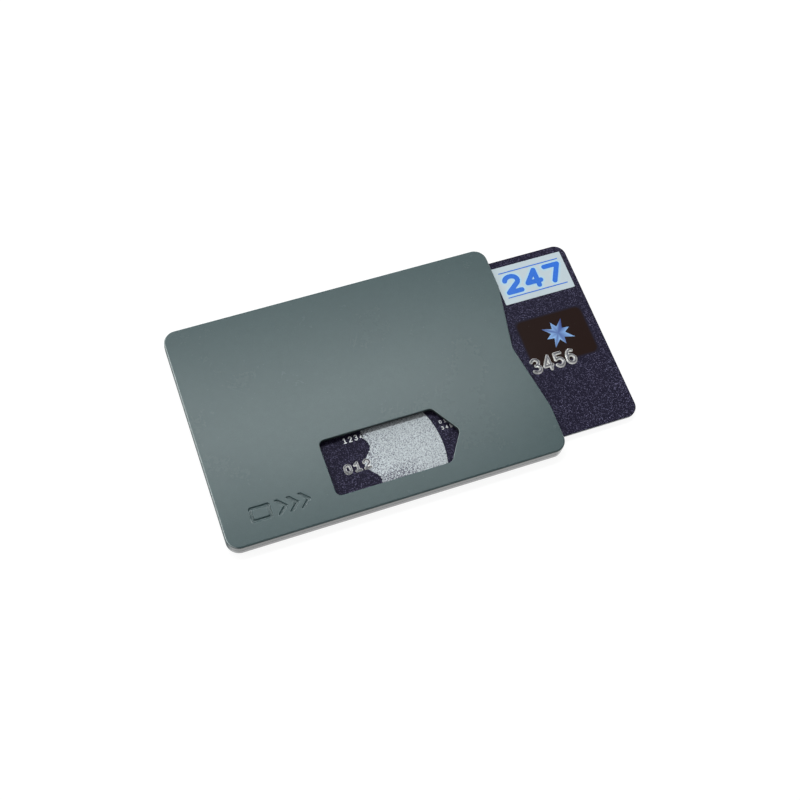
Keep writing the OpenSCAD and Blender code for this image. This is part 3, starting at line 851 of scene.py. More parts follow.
FINISHES: dict[str, Finish] = {
    # The shell's rubbed-edge colour is partly a painted highlight along fillets, the mouth's lips and
    # round the mark.
    "shell": Finish(
        "shell_plastic", Pattern.MOULDED, (0.036, 0.064, 0.068), (0.050, 0.088, 0.094), share=0.6,
        scale=5200.0, roughness=0.27, swing=0.008, relief=4e-6, specular=0.23, cloud=0.05,
        side=0.18, coat=1.0, wear_and_highlight=0.35, worn_highlight=(0.13, 0.17, 0.175), dust=0.01, scratches=0.02,
    ),
    "foil": Finish(
        "shield_foil", Pattern.ROLLED, (0.62, 0.63, 0.65), (0.75, 0.76, 0.78), scale=9000.0,
        roughness=0.28, relief=3e-6, metallic=1.0, scratches=0.2,
    ),
    "film": Finish(
        "adhesive_film", Pattern.CAST, (0.72, 0.69, 0.52), (0.80, 0.77, 0.62), scale=900.0,
        roughness=0.35, relief=8e-6,
    ),
    "card": Finish(
        "card_sheet", Pattern.LAMINATE, (0.014, 0.012, 0.027), (0.092, 0.085, 0.142), share=0.2,
        scale=6200.0, roughness=0.42, swing=0.05, relief=2e-6, specular=0.03, dust=0.03,
        scratches=0.08,
    ),
    "core": Finish(
        "card_core", Pattern.LAYERED, (0.62, 0.66, 0.70), (0.42, 0.46, 0.50), share=0.5,
        roughness=0.55, relief=6e-6,
    ),
    "coil": Finish(
        "antenna_wire", Pattern.ROLLED, (0.72, 0.38, 0.20), (0.80, 0.47, 0.28), scale=9000.0,
        roughness=0.25, relief=2e-6, metallic=1.0,
    ),
    "contacts": Finish(
        "chip_contacts", Pattern.ROLLED, (0.76, 0.55, 0.20), (0.83, 0.63, 0.28), scale=12000.0,
        roughness=0.24, relief=2e-6, metallic=1.0, scratches=0.5,
    ),
    "tape": Finish(
        "chip_tape", Pattern.WOVEN, (0.12, 0.09, 0.03), (0.19, 0.15, 0.06), roughness=0.5,
        relief=1e-5,
    ),
    "die": Finish(
        "silicon", Pattern.GRATED, (0.08, 0.09, 0.11), (0.16, 0.18, 0.22), roughness=0.12,
        swing=0.04, relief=1e-6, metallic=0.6,
    ),
    "resin": Finish(
        "encapsulant", Pattern.CAST, (0.010, 0.010, 0.011), (0.022, 0.022, 0.024), scale=3000.0,
        roughness=0.4, relief=8e-6,
    ),
    "patch": Finish(
        "hologram_foil", Pattern.GRATED, (0.013, 0.004, 0.0025), (0.014, 0.012, 0.026), share=0.95,
        roughness=0.4, swing=0.05, relief=4e-7, specular=0.05, scratches=0.1, dust=0.03,
    ),
    "figure": Finish(
        "hologram_foil", Pattern.FACETED, (0.29, 0.52, 0.88), (0.012, 0.03, 0.22), share=1.0,
        roughness=0.34, relief=4e-7, specular=0.2, dust=0.0,
    ),
    "label": Finish(
        "label_ground", Pattern.HALO, (0.465, 0.545, 0.59), (0.34, 0.62, 0.80), share=0.85,
        scale=2500.0, roughness=0.33, relief=2e-6, dust=0.08, scratches=0.12,
    ),
    "label_ink": Finish(
        "label_ink", Pattern.CAST, (0.010, 0.135, 0.63), (0.020, 0.18, 0.74), share=0.5,
        scale=2500.0, roughness=0.33, relief=2e-6, specular=0.2, dust=0.03, scratches=0.1,
    ),
    "silver_ink": Finish(
        "metallic_ink", Pattern.COARSE, (0.55, 0.59, 0.61), (0.040, 0.034, 0.065), share=0.95,
        scale=3000.0, roughness=0.5, swing=0.1, relief=1.2e-5, metallic=0.15, specular=0.3,
        dust=0.03,
    ),
    "white_ink": Finish(
        "white_ink", Pattern.CAST, (0.80, 0.81, 0.82), (0.62, 0.63, 0.65), share=0.6, scale=6000.0,
        roughness=0.5, relief=2e-6, dust=0.0,
    ),
    "tipping": Finish(
        "tipping_foil", Pattern.HALO, (0.92, 0.92, 0.90), (0.02, 0.018, 0.03), share=1.0,
        scale=2600.0, roughness=0.26, swing=0.08, relief=6e-6, metallic=0.4, dust=0.0,
    ),
    "stripe": Finish(
        "magnetic_tape", Pattern.ROLLED, (0.012, 0.010, 0.010), (0.022, 0.018, 0.017), scale=6000.0,
        roughness=0.3, relief=2e-6, scratches=0.5,
    ),
    "signature": Finish(
        "signature_ink", Pattern.RULED, (0.74, 0.74, 0.70), (0.55, 0.60, 0.68), share=0.5,
        scale=5000.0, roughness=0.75, relief=5e-6,
    ),
}


@dataclass
class Workshop:
    """Makes the finished pieces: keeps the materials and joins each piece to its body."""

    effects: Effects = field(default_factory=Effects)
    made: dict[str, bpy.types.Material] = field(default_factory=dict)

    def material(self, finish: str) -> bpy.types.Material:
        """The material of a finish, built at its first use."""
        if finish not in self.made:
            self.made[finish] = FINISHES[finish].material(self.effects)
        return self.made[finish]

    def dress(self, obj: bpy.types.Object, finish: str) -> None:
        """Gives an object one finish all over."""
        obj.data.materials.clear()
        obj.data.materials.append(self.material(finish))

    def place(self, obj: bpy.types.Object, finish: str, body: str, *nodes: str) -> None:
        """Finishes a new piece.

        Args:
            obj: The piece.
            finish: Name of its finish.
            body: The body it moves with.
            nodes: The nodes that it stands for.
        """
        self.dress(obj, finish)
        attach(obj, body)
        if nodes:
            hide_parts(*nodes)

    def keep(self, node: str, finish: str) -> None:
        """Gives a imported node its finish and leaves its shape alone."""
        self.dress(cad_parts[node], finish)
        LOG.info("%s: kept, finish %s", node, finish)


# The sleeve.


@dataclass
class Sleeve:
    """The two moulded halves, their shielding foils and the adhesive behind these."""

    length: float = 90.0
    width: float = 62.3
    height: float = 4.0
    corner_r: float = 3.5
    fillet: float = 0.4
    window_fillet: float = 0.15
    lip_fillet: float = 0.2
    guard: float = 0.03
    draft: float = 0.07
    groove: float = 0.12
    face: float = 1.25
    wall: float = 1.1
    lead_in: float = 0.3
    pocket_half: float = 27.25
    pocket_end: float = -42.9
    notch: float = 3.3
    notch_half: float = 18.8
    notch_end_r: float = 1.2
    notch_root_r: float = 3.0
    window_x: Triple = (-15.6, 15.0, 20.0)
    window_y: Pair = (-25.5, -10.0)
    window_r: Pair = (1.5, 1.6)
    foil_setback: float = 2.5
    foil_r: float = 0.8
    mark_at: Pair = (-37.5, -25.8)
    mark_h: float = 4.0
    mark_stroke: float = 0.7
    mark_depth: float = 0.3
    arrow_gap: float = 1.2
    arrow_r: float = 0.12

    def plan(self) -> Outline:
        """Outline of the sleeve, from the closed end's lower corner."""
        x, y, p, r = self.length / 2, self.width / 2, self.pocket_half, self.corner_r
        half, end = self.notch_half, self.notch_end_r
        return Outline((
            (-x, -y, r), (x, -y, r), (x, -p, 0.0), (x, -half, end),
            (x - self.notch, 0.0, self.notch_root_r),
            (x, half, end), (x, p, 0.0), (x, y, r), (-x, y, r),
        ), 4.0)

    def window(self) -> Outline:
        """Outline of the thumb window, with its point towards the mouth."""
        (back, shoulder, tip), (foot, head), (r, bend) = self.window_x, self.window_y, self.window_r
        return Outline((
            (back, foot, r), (shoulder, foot, bend), (tip, (foot + head) / 2, bend),
            (shoulder, head, bend), (back, head, r),
        ))

    def recess(self) -> Outline:
        """Outline of the shallow recess that holds a foil."""
        end, half, r = self.pocket_end + 0.4, self.pocket_half - 0.3, self.foil_r
        x, notch = self.length / 2 - self.foil_setback, self.notch_half
        return Outline((
            (end, -half, r), (x, -half, r), (x, -notch, 0.0), (x - self.notch, 0.0, 0.0),
            (x, notch, 0.0), (x, half, r), (end, half, r),
        ), 6.0)

    def mark(self) -> list[list[tuple[Outline, float]]]:
        """The debossed mark: a card's outline and three arrowheads.

        Returns:
            For each groove its closed loops, each with 1 where it bounds the groove from outside.
        """
        x, y, h, s = *self.mark_at, self.mark_h, self.mark_stroke
        mid, size = (x + 0.675 * h, y + h / 2), (1.35 * h, h)
        inner = (size[0] - 2 * s, size[1] - 2 * s)
        grooves = [[(rectangle(mid, size, 0.6, 9.0), 1.0), (rectangle(mid, inner, 0.32, 9.0), -1.0)]]
        thick, reach = s * math.sqrt(2), h / 2
        for k in range(3):
            ax, ay = x + size[0] + self.arrow_gap + k * 0.75 * h, y + h / 2
            head = (
                (0, -reach), (thick, -reach), (reach + thick, 0),
                (thick, reach), (0, reach), (reach, 0),
            )
            corners = tuple((ax + p, ay + q, self.arrow_r) for p, q in head)
            grooves.append([(Outline(corners, 15.0), 1.0)])
        return grooves

    def fillet_rings(self, r: float, steps: int = 8) -> list[Triple]:
        """Inset, depth and tag (rubbing and painted highlight) of the rings over an edge rounded to a
        radius.
        """
        rings = [(r + self.guard, 0.0, 0.0)]
        for k in range(steps + 1):
            a = math.radians(90 * k / steps)
            rings.append((r * (1 - math.sin(a)), r * (1 - math.cos(a)), math.sin(2 * a)))
        return rings + [(0.0, r + self.guard, 0.0)]

    def half(self, front: bool) -> Shape:
        """Builds one moulded half.

        Args:
            front: Whether it is the half with the window and the mark.

        Returns:
            Its closed mesh.
        """
        shape = Shape()
        top, way = (self.height, -1.0) if front else (0.0, 1.0)
        groove = self.groove if front else 0.0
        mid, path = self.height / 2, self.plan()
        starts = path.points()[1]
        low, up = starts[2], starts[6]

        def ring(outline: Outline, depth: float, tag: float = 0.0) -> Loop:
            """A ring at a depth under the outer face."""
            return shape.ring(outline, top + way * depth, tag)

        def drafted(d: float, depth: float) -> Outline:
            """The outline set in by d and by the wall's slope at a depth."""
            return path.inset(d + self.draft * (1 - depth / mid))

        rims = []
        for pair in zip(self.fillet_rings(self.fillet), self.fillet_rings(self.lip_fillet)):
            edge, lip = [(drafted(d, z).points()[0], z, tag) for d, z, tag in pair]
            chosen = [lip if low < i < up else edge for i in range(len(edge[0]))]
            rims.append([
                shape.add(*at[i], top + way * z, tag) for i, (at, z, tag) in enumerate(chosen)
            ])
        for a, b in zip(rims, rims[1:]):
            shape.band(a, b)
        around = [*range(up, len(rims[0])), *range(0, low + 1)]
        across = list(range(low, up + 1))
        seam = mid - groove
        sections = [(0.0, seam - self.guard), (0.0, seam)]
        if front:
            sections += [(groove, seam), (groove, mid)]
        walls = [[rims[-1][i] for i in around]]
        for d, z in sections:
            walls.append([ring(path.inset(d), z)[i] for i in around])
        lips = [[rims[-1][i] for i in across]]
        # The mouth's lip walls carry tag 0.5: some rubbing and a painted highlight.
        for d, z in ((0.0, self.face - self.lead_in), (self.lead_in, self.face)):
            lips.append([ring(drafted(d, z), z, 0.5)[i] for i in across])
        for lines in (walls, lips):
            for a, b in zip(lines, lines[1:]):
                shape.band(a, b, closed=False)
        pocket = {
            (side, z): shape.add(self.pocket_end, side * self.pocket_half, top + way * z)
            for side in (-1, 1)
            for z in (self.face, mid)
        }
        for side, wall_at, lip_at in ((-1, -1, 0), (1, 0, -1)):
            shape.faces.append(
                [line[wall_at] for line in walls]
                + [pocket[side, mid], pocket[side, self.face]]
                + [line[lip_at] for line in reversed(lips[1:])]
            )
        corners = ((-1, mid), (1, mid), (1, self.face), (-1, self.face))
        shape.faces.append([pocket[corner] for corner in corners])
        shape.sheet(walls[-1] + [pocket[-1, mid], pocket[1, mid]])
        recess = [ring(self.recess(), z) for z in (self.face, self.wall)]
        shape.band(*recess)
        shape.sheet(lips[-1] + [pocket[1, self.face], pocket[-1, self.face]], recess[0])
        outer, inner = [rims[0]], [recess[1]]
        if front:
            window = self.window()
            bands = [(-d, z, tag) for d, z, tag in self.fillet_rings(self.window_fillet, 4)]
            start, end = self.window_fillet + 2 * self.guard, self.face - self.lead_in
            inner_walls = ((0.0, start), (0.0, end), (-self.lead_in / 2, self.wall))
            # The window's inner walls take the sheltered tag, so the shell paints them dark as painted
            # shade.
            bands += [(d, z, SHELTERED) for d, z in inner_walls]
            sides = [ring(window.inset(d), z, tag) for d, z, tag in bands]
            for a, b in zip(sides, sides[1:]):
                shape.band(a, b)
            outer.append(sides[0])
            inner.append(sides[-1])
            outer += self.grooves(shape, ring)
        shape.sheet(*outer)
        shape.sheet(*inner)
        return shape

    def grooves(self, shape: Shape, ring: Callable[..., Loop]) -> list[Loop]:
        """Sinks the mark's grooves into the outer face.

        Args:
            shape: The half that is being built.
            ring: Adds a ring at a depth under the outer face.

        Returns:
            The loops that the outer face ends at.
        """
        found = []
        deep = self.mark_depth
        # Rings just outside each groove carry tag 1, which the shell paints as a light band: rubbing
        # and a painted highlight.
        rims = (
            (-0.24, 0.0, 0.0), (-0.12, 0.0, 1.0), (-0.03, 0.02, 1.0), (0.0, 0.07, 0.3),
            (0.03, deep - 0.06, 0.0), (0.06, deep - 0.015, 0.0), (0.10, deep, 0.0),
        )
        for loops in self.mark():
            floors = []
            for outline, side in loops:
                rings = [ring(outline.inset(side * d), z, tag) for d, z, tag in rims]
                for a, b in zip(rings, rings[1:]):
                    shape.band(a, b)
                found.append(rings[0])
                floors.append(rings[-1])
            shape.sheet(*floors)
        return found

    def build(self, shop: Workshop) -> None:
        """Builds and dresses the halves and what lines them."""
        for front, name in ((True, "front"), (False, "rear")):
            skin = self.half(front).build(f"{name}_moulding", crease=40.0)
            shop.place(skin, "shell", "sleeve", f"{name}_shell")
            shop.keep(f"{name}_shield_foil", "foil")
            shop.keep(f"{name}_foil_adhesive", "film")


# The card.


NUMBER_CELL = Cell(2.75, 4.4, 0.6, 3.3)
SHORT_CELL = Cell(1.9, 2.6, 0.48, 2.54)
SMALL_CELL = Cell(1.0, 1.6, 0.26, 1.5)
TINY_CELL = Cell(0.7, 1.0, 0.18, 1.15)
LABEL_CELL = Cell(5.2, 6.2, 1.4, 6.1)


@dataclass
class Card:
    """The payment card: laminated sheets with embossed numerals, prints, foils and the chip."""

    out: float = 24.4
    rear_z: float = 1.30
    thick: float = 0.76
    sheet: float = 0.15
    size: Pair = (85.6, 53.98)
    corner_r: float = 3.18
    rise: float = 0.42
    foil: float = 0.04
    ink: float = 0.02
    slope_out: float = 0.15
    slope_in: float = 0.13
    cell: float = 0.1
    chip_at: Pair = (-27.7, 3.1)
    module: Pair = (13.0, 11.8)
    module_r: float = 1.4
    label_at: Pair = (31.15, 19.15)
    label_size: Pair = (20.3, 11.6)
    patch_at: Pair = (30.5, 0.4)
    patch_size: Pair = (19.4, 14.8)
    figure_at: Pair = (31.3, 1.4)
    field_at: Pair = (-19.9, -19.0)
    field_half: Pair = (10.5, 16.0)
    embossed: tuple[Row, ...] = (
        Row(
            (1, 2, 3, 4, None, 5, 6, 7, 8, None, 9, 0, 1, 2, None, 3, 4, 5, 6),
            NUMBER_CELL, (-29.0, -8.3),
        ),
        Row((1, 2, None, 2, 8), SHORT_CELL, (-2.9, -17.4)),
    )
    short: tuple[Row, ...] = (Row((0, 1, 2), SHORT_CELL, (-35.8, -20.1)),)
    small: tuple[Row, ...] = (
        Row((1, 2, 3, 4), SMALL_CELL, (-33.7, -11.9)),
        Row((0, 1, 2), TINY_CELL, (-8.4, -14.0)),
        Row((3, 4, 5), TINY_CELL, (-8.4, -15.8)),
    )

    @property
    def top(self) -> float:
        """Height of the card's face."""
        return self.rear_z + self.thick

    def lift(self, d: Array) -> Array:
        """Height of the embossing over the card's face, by distance from the stroke's edge."""
        return self.rise * smooth((self.slope_out - d) / (self.slope_out + self.slope_in))

    def moved(self, plan: Outline) -> Outline:
        """A plan drawn from the card's middle, put where the card is."""
        return Outline(tuple((x + self.out, y, r) for x, y, r in plan.corners), plan.step)

    def front_sheet(self) -> Shape:
        """The front sheet with its raised numerals and the hole for the chip module."""
        shape = Shape()
        plan = self.moved(rectangle((0.0, 0.0), self.size, self.corner_r, 3.0))
        under = self.top - self.sheet
        rims = [shape.ring(plan.inset(d), z, tag) for d, z, tag in (
            (0.0, under, 0.0), (0.0, self.top - 0.05, 0.4), (0.015, self.top - 0.015, 1.0),
            (0.05, self.top, 0.4), (0.07, self.top, 0.0),
        )]
        hole = self.moved(rectangle(self.chip_at, self.module, self.module_r))
        module = [shape.ring(hole, z) for z in (under, self.top)]
        for a, b in [*zip(rims, rims[1:]), tuple(module)]:
            shape.band(a, b)
        shape.sheet(rims[0], module[0])
        rows = (*self.embossed, *self.short)
        holes = [self.raise_numeral(shape, row, n, at) for row in rows for n, at in row.places()]
        shape.sheet(rims[-1], module[1], *holes)
        return shape

    def raise_numeral(self, shape: Shape, row: Row, number: int, at: Pair) -> Loop:
        """Adds the raised grid of one numeral.

        Args:
            shape: The sheet that is being built.
            row: The row that the numeral is in.
            number: The numeral.
            at: Lower left corner of its cell.

        Returns:
            The grid's edge, which the flat face ends at.
        """
        margin = 0.25
        w, h = row.cell.width + 2 * margin, row.cell.height + 2 * margin
        nx, ny = round(w / self.cell), round(h / self.cell)
        xs = np.linspace(at[0] - margin, at[0] + w - margin, nx + 1)
        ys = np.linspace(at[1] - margin, at[1] + h - margin, ny + 1)
        grid_x, grid_y = np.meshgrid(xs, ys)
        d = from_lines(row.segments(number, at), grid_x, grid_y) - row.cell.stroke / 2
        height = self.lift(d)
        height[0, :] = height[-1, :] = height[:, 0] = height[:, -1] = 0
        ids = [
            [shape.add(xs[i] + self.out, ys[j], self.top + height[j, i], 0.0) for i in range(nx + 1)]
            for j in range(ny + 1)
        ]
        for a, b in zip(ids, ids[1:]):
            shape.band(a, b, closed=False)
        right, left = [line[-1] for line in ids[1:]], [line[0] for line in ids[-2:0:-1]]
        return ids[0] + right + ids[-1][-2::-1] + left

    def tipping(self, rows: tuple[Row, ...]) -> Shape:
        """The foil stamped on the tops of raised numerals.

        Args:
            rows: The rows it covers.

        Returns:
            Thin closed caps that follow the tops.
        """
        shape = Shape()
        for row in rows:
            for number, at in row.places():
                lines = row.segments(number, at)
                half = row.cell.stroke / 2
                reach = 0.3 * half + 0.1

                x0, y0 = at[0] + self.out, at[1]

                def off(x: Array, y: Array) -> Array:
                    """Distance from the stroke's edge."""
                    return from_lines(lines, x - self.out, y) - half

                def face(x: Array, y: Array) -> Array:
                    """Height of the card under the foil."""
                    return self.top + self.lift(off(x, y))

                plan = region(
                    lambda x, y: off(x, y) - reach,
                    (x0 - 0.2, y0 - 0.2), (x0 + row.cell.width + 0.2, y0 + row.cell.height + 0.2), 0.09,
                )
                shape.plate(
                    plan,
                    lambda x, y: face(x, y) - 0.02,
                    lambda x, y: face(x, y) + self.foil * smooth((reach + 0.02 - off(x, y)) / 0.1),
                    lambda x, y: smooth((-off(x, y) - 0.03) / 0.08),
                )
        return shape

    def print_plate(
        self, inside: Callable, low: Pair, high: Pair, step: float, base: float, thick: float,
        tag: Callable | None = None,
    ) -> Shape:
        """A thin print of even thickness on the card.

        Args:
            inside: Distance function from the print's edge, from the card's middle.
            low: Lower left corner of what it may cover.
            high: Upper right corner.
            step: Size of a cell.
            base: Height of its underside over the card's face.
            thick: Its thickness.
            tag: Value of the tag, from the card's middle.

        Returns:
            The closed mesh.
        """
        shape = Shape()
        start, end = (low[0] + self.out, low[1]), (high[0] + self.out, high[1])
        shape.plate(
            region(lambda x, y: inside(x - self.out, y), start, end, step),
            lambda x, y: np.full_like(x, self.top + base),
            lambda x, y: np.full_like(x, self.top + base + thick),
            (lambda x, y: tag(x - self.out, y)) if tag else None,
        )
        return shape

    def panel(self, mid: Pair, size: Pair, r: float, step: float, tag: Callable) -> Shape:
        """A rectangular print on the card.

        Args:
            mid: Its middle, from the card's middle.
            size: Its width and height.
            r: Radius of its corners.
            step: Size of a cell.
            tag: Value of the tag, from the card's middle.

        Returns:
            The closed mesh.
        """
        (cx, cy), (w, h) = mid, size
        low = (cx - w / 2 - 0.05, cy - h / 2 - 0.05)
        high = (cx + w / 2 + 0.05, cy + h / 2 + 0.05)
        return self.print_plate(
            lambda x, y: box_distance(mid, size, r, x, y), low, high, step, 0.0, self.ink, tag
        )

    def label(self) -> tuple[Shape, Shape]:
        """The pale label panel with a halo round its numerals, and its rules and numerals."""
        cx, cy = self.label_at
        w, h = self.label_size
        width = 2 * LABEL_CELL.pitch + LABEL_CELL.width
        row = Row((2, 4, 7), LABEL_CELL, (cx - width / 2, cy - LABEL_CELL.height / 2))
        panel = self.panel(
            self.label_at, self.label_size, 0.15, 0.2, lambda x, y: smooth(1 - row.distance(x, y) / 0.8)
        )

        def printed(x: Array, y: Array) -> Array:
            """Distance from the numerals and the two rules."""
            heights = (cy - h / 2 + 1.9, cy + h / 2 - 1.9)
            rules = [box_distance((cx, at), (w - 2.8, 0.3), 0.02, x, y) for at in heights]
            return np.minimum(row.distance(x, y), np.minimum(*rules))

        ink = self.print_plate(
            printed, (cx - w / 2, cy - h / 2), (cx + w / 2, cy + h / 2), 0.1, self.ink, self.ink
        )
        return panel, ink

    def hologram(self) -> tuple[Shape, Shape]:
        """The dark patch that fades at its edge, and the faceted star on it, with painted facet
        shading.
        """
        patch = self.panel(
            self.patch_at, self.patch_size, 1.0, 0.25,
            lambda x, y: smooth(1 + box_distance(self.patch_at, self.patch_size, 2.0, x, y) / 0.7),
        )
        star = Shape()
        z = self.top + self.ink
        fx, fy = self.figure_at[0] + self.out, self.figure_at[1]
        rays = 8

        def at(r: float, a: float, up: float, tag: float) -> int:
            """One point of the star by distance and angle."""
            return star.add(fx + r * math.cos(a), fy + r * math.sin(a), z + up, tag)

        for k in range(2 * rays):
            side = 1 if k % 2 else -1
            spoke = 2 * math.pi * (k // 2) / rays + math.pi / 12
            tip = 4.6 if (k // 2) % 2 else 3.7
            # Painted light and shade: one facet of each ray is darker, and rays pointing towards +Y are
            # a little darker.
            tone = 0.2 + 0.65 * (side > 0) + 0.15 * math.sin(spoke)
            places = ((0, 0), (tip, spoke), (1.95, spoke + side * math.pi / rays))
            low = [at(r, a, 0, tone) for r, a in places]
            up = [at(r, a, 0.004 if r else 0.03, tone) for r, a in places]
            star.faces += [tuple(up), tuple(low), (low[1], low[2], up[2], up[1])]
        return patch, star

    def silver_field(self) -> Shape:
        """The silver print with a waved left side, cut off near the card's lower edge."""
        (cx, cy), (rx, ry) = self.field_at, self.field_half
        foot = -self.size[1] / 2 + self.corner_r / 4

        def inside(x: Array, y: Array) -> Array:
            """About the distance from the print's edge."""
            wave = np.where(x < cx, 1.2 * (1 - np.cos(2 * np.pi * (y - cy) / 9.0)), 0.0)
            wave = wave + 0.07 * np.sin(y * 7.3) + 0.05 * np.sin(y * 17.1 + x)
            t = np.clip((y - cy) / ry, -1, 1)
            edge = rx * np.sqrt(1 - t * t)
            side = np.where(x < cx, cx - edge + wave - x, x - cx - edge)
            return np.maximum(np.maximum(side, foot - y), y - cy - ry)

        def thinned(x: Array, y: Array) -> Array:
            """Share of dark spots: more of them at the left and in the lower left corner."""
            left = 0.7 * smooth(1 - (x - cx + rx - 1.0) / 6.5)
            return np.maximum(left, smooth((-20.0 - y) / 4.0) * smooth((-13.0 - x) / 9.0))

        low, high = (cx - rx - 0.5, foot - 0.2), (cx + rx + 0.5, cy + ry + 0.1)
        return self.print_plate(inside, low, high, 0.2, 0.0, self.ink, thinned)

    def build(self, shop: Workshop) -> None:
        """Builds and dresses the card's pieces."""
        panel, ink = self.label()
        patch, star = self.hologram()
        for shape, name, crease, finish, *nodes in (
            (self.front_sheet(), "card_face", 50.0, "card", "card_front_sheet"),
            (self.tipping(self.embossed), "number_foil", 60.0, "tipping", "number_tipping_foil"),
            (self.tipping(self.short), "short_row_foil", 60.0, "tipping", "short_row_tipping_foil"),
            (panel, "label_ground", 35.0, "label", "label_panel"),
            (patch, "hologram_ground", 35.0, "patch", "hologram_patch"),
            (star, "hologram_star", 2.0, "figure"),
            (self.silver_field(), "silver_print", 35.0, "silver_ink", "metallic_print_field"),
        ):
            shop.place(shape.build(name, crease), finish, "card", *nodes)
        shop.place(ink.build("label_figures", flatten=True), "label_ink", "card", "label_print")
        for k, row in enumerate(self.small):
            low = (row.at[0] - 0.1, row.at[1] - 0.1)
            high = (row.at[0] + len(row.numbers) * row.cell.pitch, row.at[1] + row.cell.height + 0.1)
            piece = self.print_plate(row.distance, low, high, 0.05, self.ink / 2, self.ink / 2)
            nodes = ("small_print_numerals",) if k == 0 else ()
            shop.place(piece.build(f"small_figures_{k + 1}", flatten=True), "white_ink", "card", *nodes)
        for node, finish in (
            ("card_core", "core"), ("card_rear_sheet", "card"), ("antenna_coil", "coil"),
            ("chip_contact_plate", "contacts"), ("chip_carrier_tape", "tape"), ("chip_die", "die"),
            ("chip_encapsulant", "resin"), ("magnetic_stripe", "stripe"),
            ("signature_panel", "signature"),
        ):
            shop.keep(node, finish)


# Camera, floor and light.


@dataclass(frozen=True)
class Lamp:
    """A soft rectangular lamp that faces the object, in metres.

    Its level is how brightly it lights a white surface that faces it, where 1 is white.
    """

    name: str
    at: Triple
    size: Pair
    level: float
    colour: Triple = (1.0, 1.0, 1.0)

    def hang(self) -> None:
        """Adds the lamp to the scene."""
        data = bpy.data.lights.new(self.name, "AREA")
        data.shape, data.size, data.size_y = "RECTANGLE", *self.size
        away = Vector(self.at)
        data.energy = self.level * math.pi**2 * away.length_squared
        data.color = self.colour
        obj = bpy.data.objects.new(self.name, data)
        turned = (-away).to_track_quat("-Z", "Y").to_matrix().to_4x4()
        obj.matrix_world = Matrix.Translation(self.at) @ turned
        bpy.context.scene.collection.objects.link(obj)


# A strip that gives the sheen on the face, then softer lamps from above and from low down.
LAMPS = (
    Lamp("strip_key", (0.016, 0.238, 0.555), (0.45, 0.05), 0.51, (0.93, 1.0, 1.0)),
    Lamp("broad_top", (-0.75, 0.45, 1.1), (0.9, 0.9), 0.14),
    Lamp("low_left", (-0.8, 0.3, 0.085), (0.5, 0.12), 0.8),
    Lamp("low_right", (0.8, 0.35, 0.2), (0.5, 0.12), 0.3),
    Lamp("low_back", (0.25, 0.8, 0.12), (0.9, 0.12), 0.25),
)


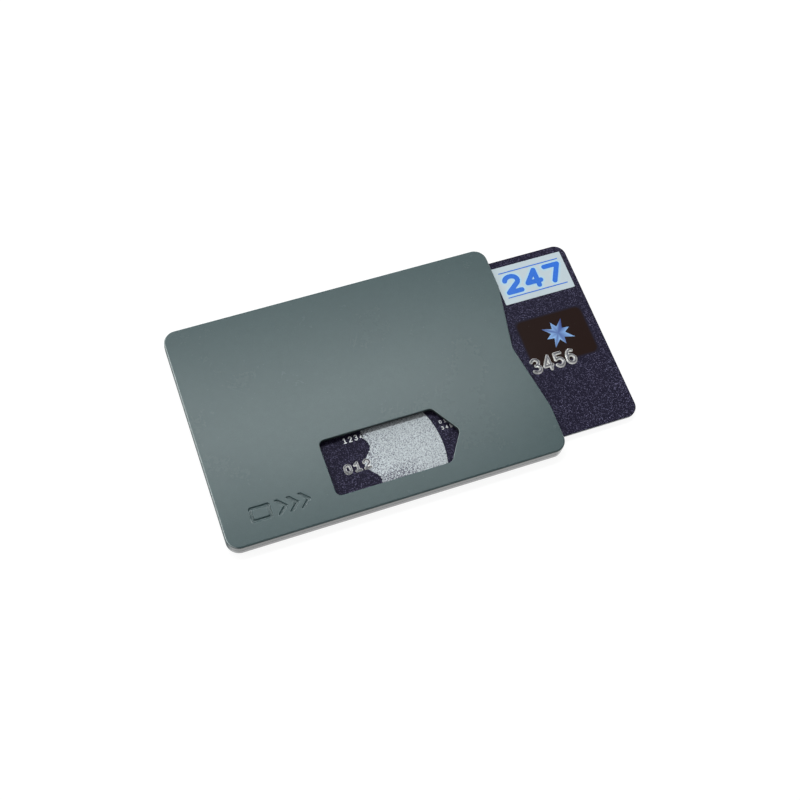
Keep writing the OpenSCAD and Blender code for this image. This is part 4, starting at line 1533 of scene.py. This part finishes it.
@dataclass
class Studio:
    """The camera at the photograph's viewing angle, a pale floor and soft light."""

    lens: float = 59.5524
    sensor: float = 36.0
    clip: Pair = (0.01, 20.0)
    camera_at: Triple = (-0.062490, -0.134156, 0.310785)
    right: Triple = (0.93958078, -0.33378300, 0.07600573)
    down: Triple = (-0.27226869, -0.86322261, -0.42510761)
    ahead: Triple = (0.20750356, 0.37872896, -0.90194603)
    sky: Pair = (0.22, 0.46)
    floor_tone: float = 0.16
    floor_glow: float = 0.9
    floor_half: float = 1500.0
    floor_z: float = -0.02

    def camera(self) -> None:
        """Makes the camera the scene's own."""
        data = bpy.data.cameras.new("studio_camera")
        data.sensor_fit, data.sensor_width, data.lens = "HORIZONTAL", self.sensor, self.lens
        data.clip_start, data.clip_end = self.clip
        obj = bpy.data.objects.new("studio_camera", data)
        columns = [Vector(self.right), -Vector(self.down), -Vector(self.ahead)]
        turned = Matrix(columns).transposed().to_4x4()
        obj.matrix_world = Matrix.Translation(self.camera_at) @ turned
        bpy.context.scene.collection.objects.link(obj)
        bpy.context.scene.camera = obj

    @staticmethod
    def seen(g: Graph) -> Socket:
        """1 for rays that show the background: camera, glossy and transmission rays."""
        path = g.add("ShaderNodeLightPath").outputs
        either = g.math("MAXIMUM", path["Is Camera Ray"], path["Is Glossy Ray"])
        return g.math("MAXIMUM", either, path["Is Transmission Ray"])

    def world(self) -> None:
        """A dim even sky that shows white."""
        world = bpy.data.worlds.new("studio_sky")
        world.use_nodes = True
        g = Graph(world.node_tree)
        back = world.node_tree.nodes["Background"]
        way = g.parts(g.add("ShaderNodeTexCoord").outputs["Generated"])[1]
        dim = g.span(way, -0.7, 0.7, self.sky)
        seen = self.seen(g)
        strength = g.math("ADD", seen, g.times(g.math("SUBTRACT", 1.0, seen), dim))
        g.feed(back.inputs["Color"], (1, 1, 1, 1))
        g.feed(back.inputs["Strength"], strength)
        bpy.context.scene.world = world

    def floor(self) -> None:
        """A pale floor that keeps a soft shadow and shows white."""
        shape = Shape()
        half, z = self.floor_half, self.floor_z
        corners = ((-half, -half), (half, -half), (half, half), (-half, half))
        shape.faces.append([shape.add(x, y, z) for x, y in corners])
        obj = shape.build("studio_floor")
        made = bpy.data.materials.new("studio_floor")
        made.use_nodes = True
        g = Graph(made.node_tree)
        nodes = made.node_tree.nodes
        nodes.remove(nodes["Principled BSDF"])
        tones = (self.floor_tone - 0.01, self.floor_tone + 0.01)
        tone = g.span(g.noise(g.place(), 30.0), 0.2, 0.8, tones)
        grey = g.add("ShaderNodeCombineColor", {0: tone, 1: tone, 2: tone}).outputs[0]
        matte = g.add("ShaderNodeBsdfDiffuse", {"Color": grey})
        strength = g.times(self.seen(g), self.floor_glow)
        glow = g.add("ShaderNodeEmission", {"Color": (1, 1, 1, 1), "Strength": strength})
        both = g.add("ShaderNodeAddShader", {0: matte.outputs[0], 1: glow.outputs[0]})
        g.feed(nodes["Material Output"].inputs["Surface"], both.outputs[0])
        obj.data.materials.append(made)

    def build(self) -> None:
        """Sets up the whole studio."""
        self.camera()
        self.world()
        self.floor()
        for lamp in LAMPS:
            lamp.hang()
        bpy.context.scene.view_settings.view_transform = "Standard"


def main() -> None:
    """Builds the object and the studio."""
    logging.basicConfig(level=logging.INFO, format="%(message)s")
    shop = Workshop()
    Studio().build()
    for part in (Sleeve(), Card()):
        part.build(shop)
        LOG.info("%s done", type(part).__name__)


if __name__ == "__main__":
    main()
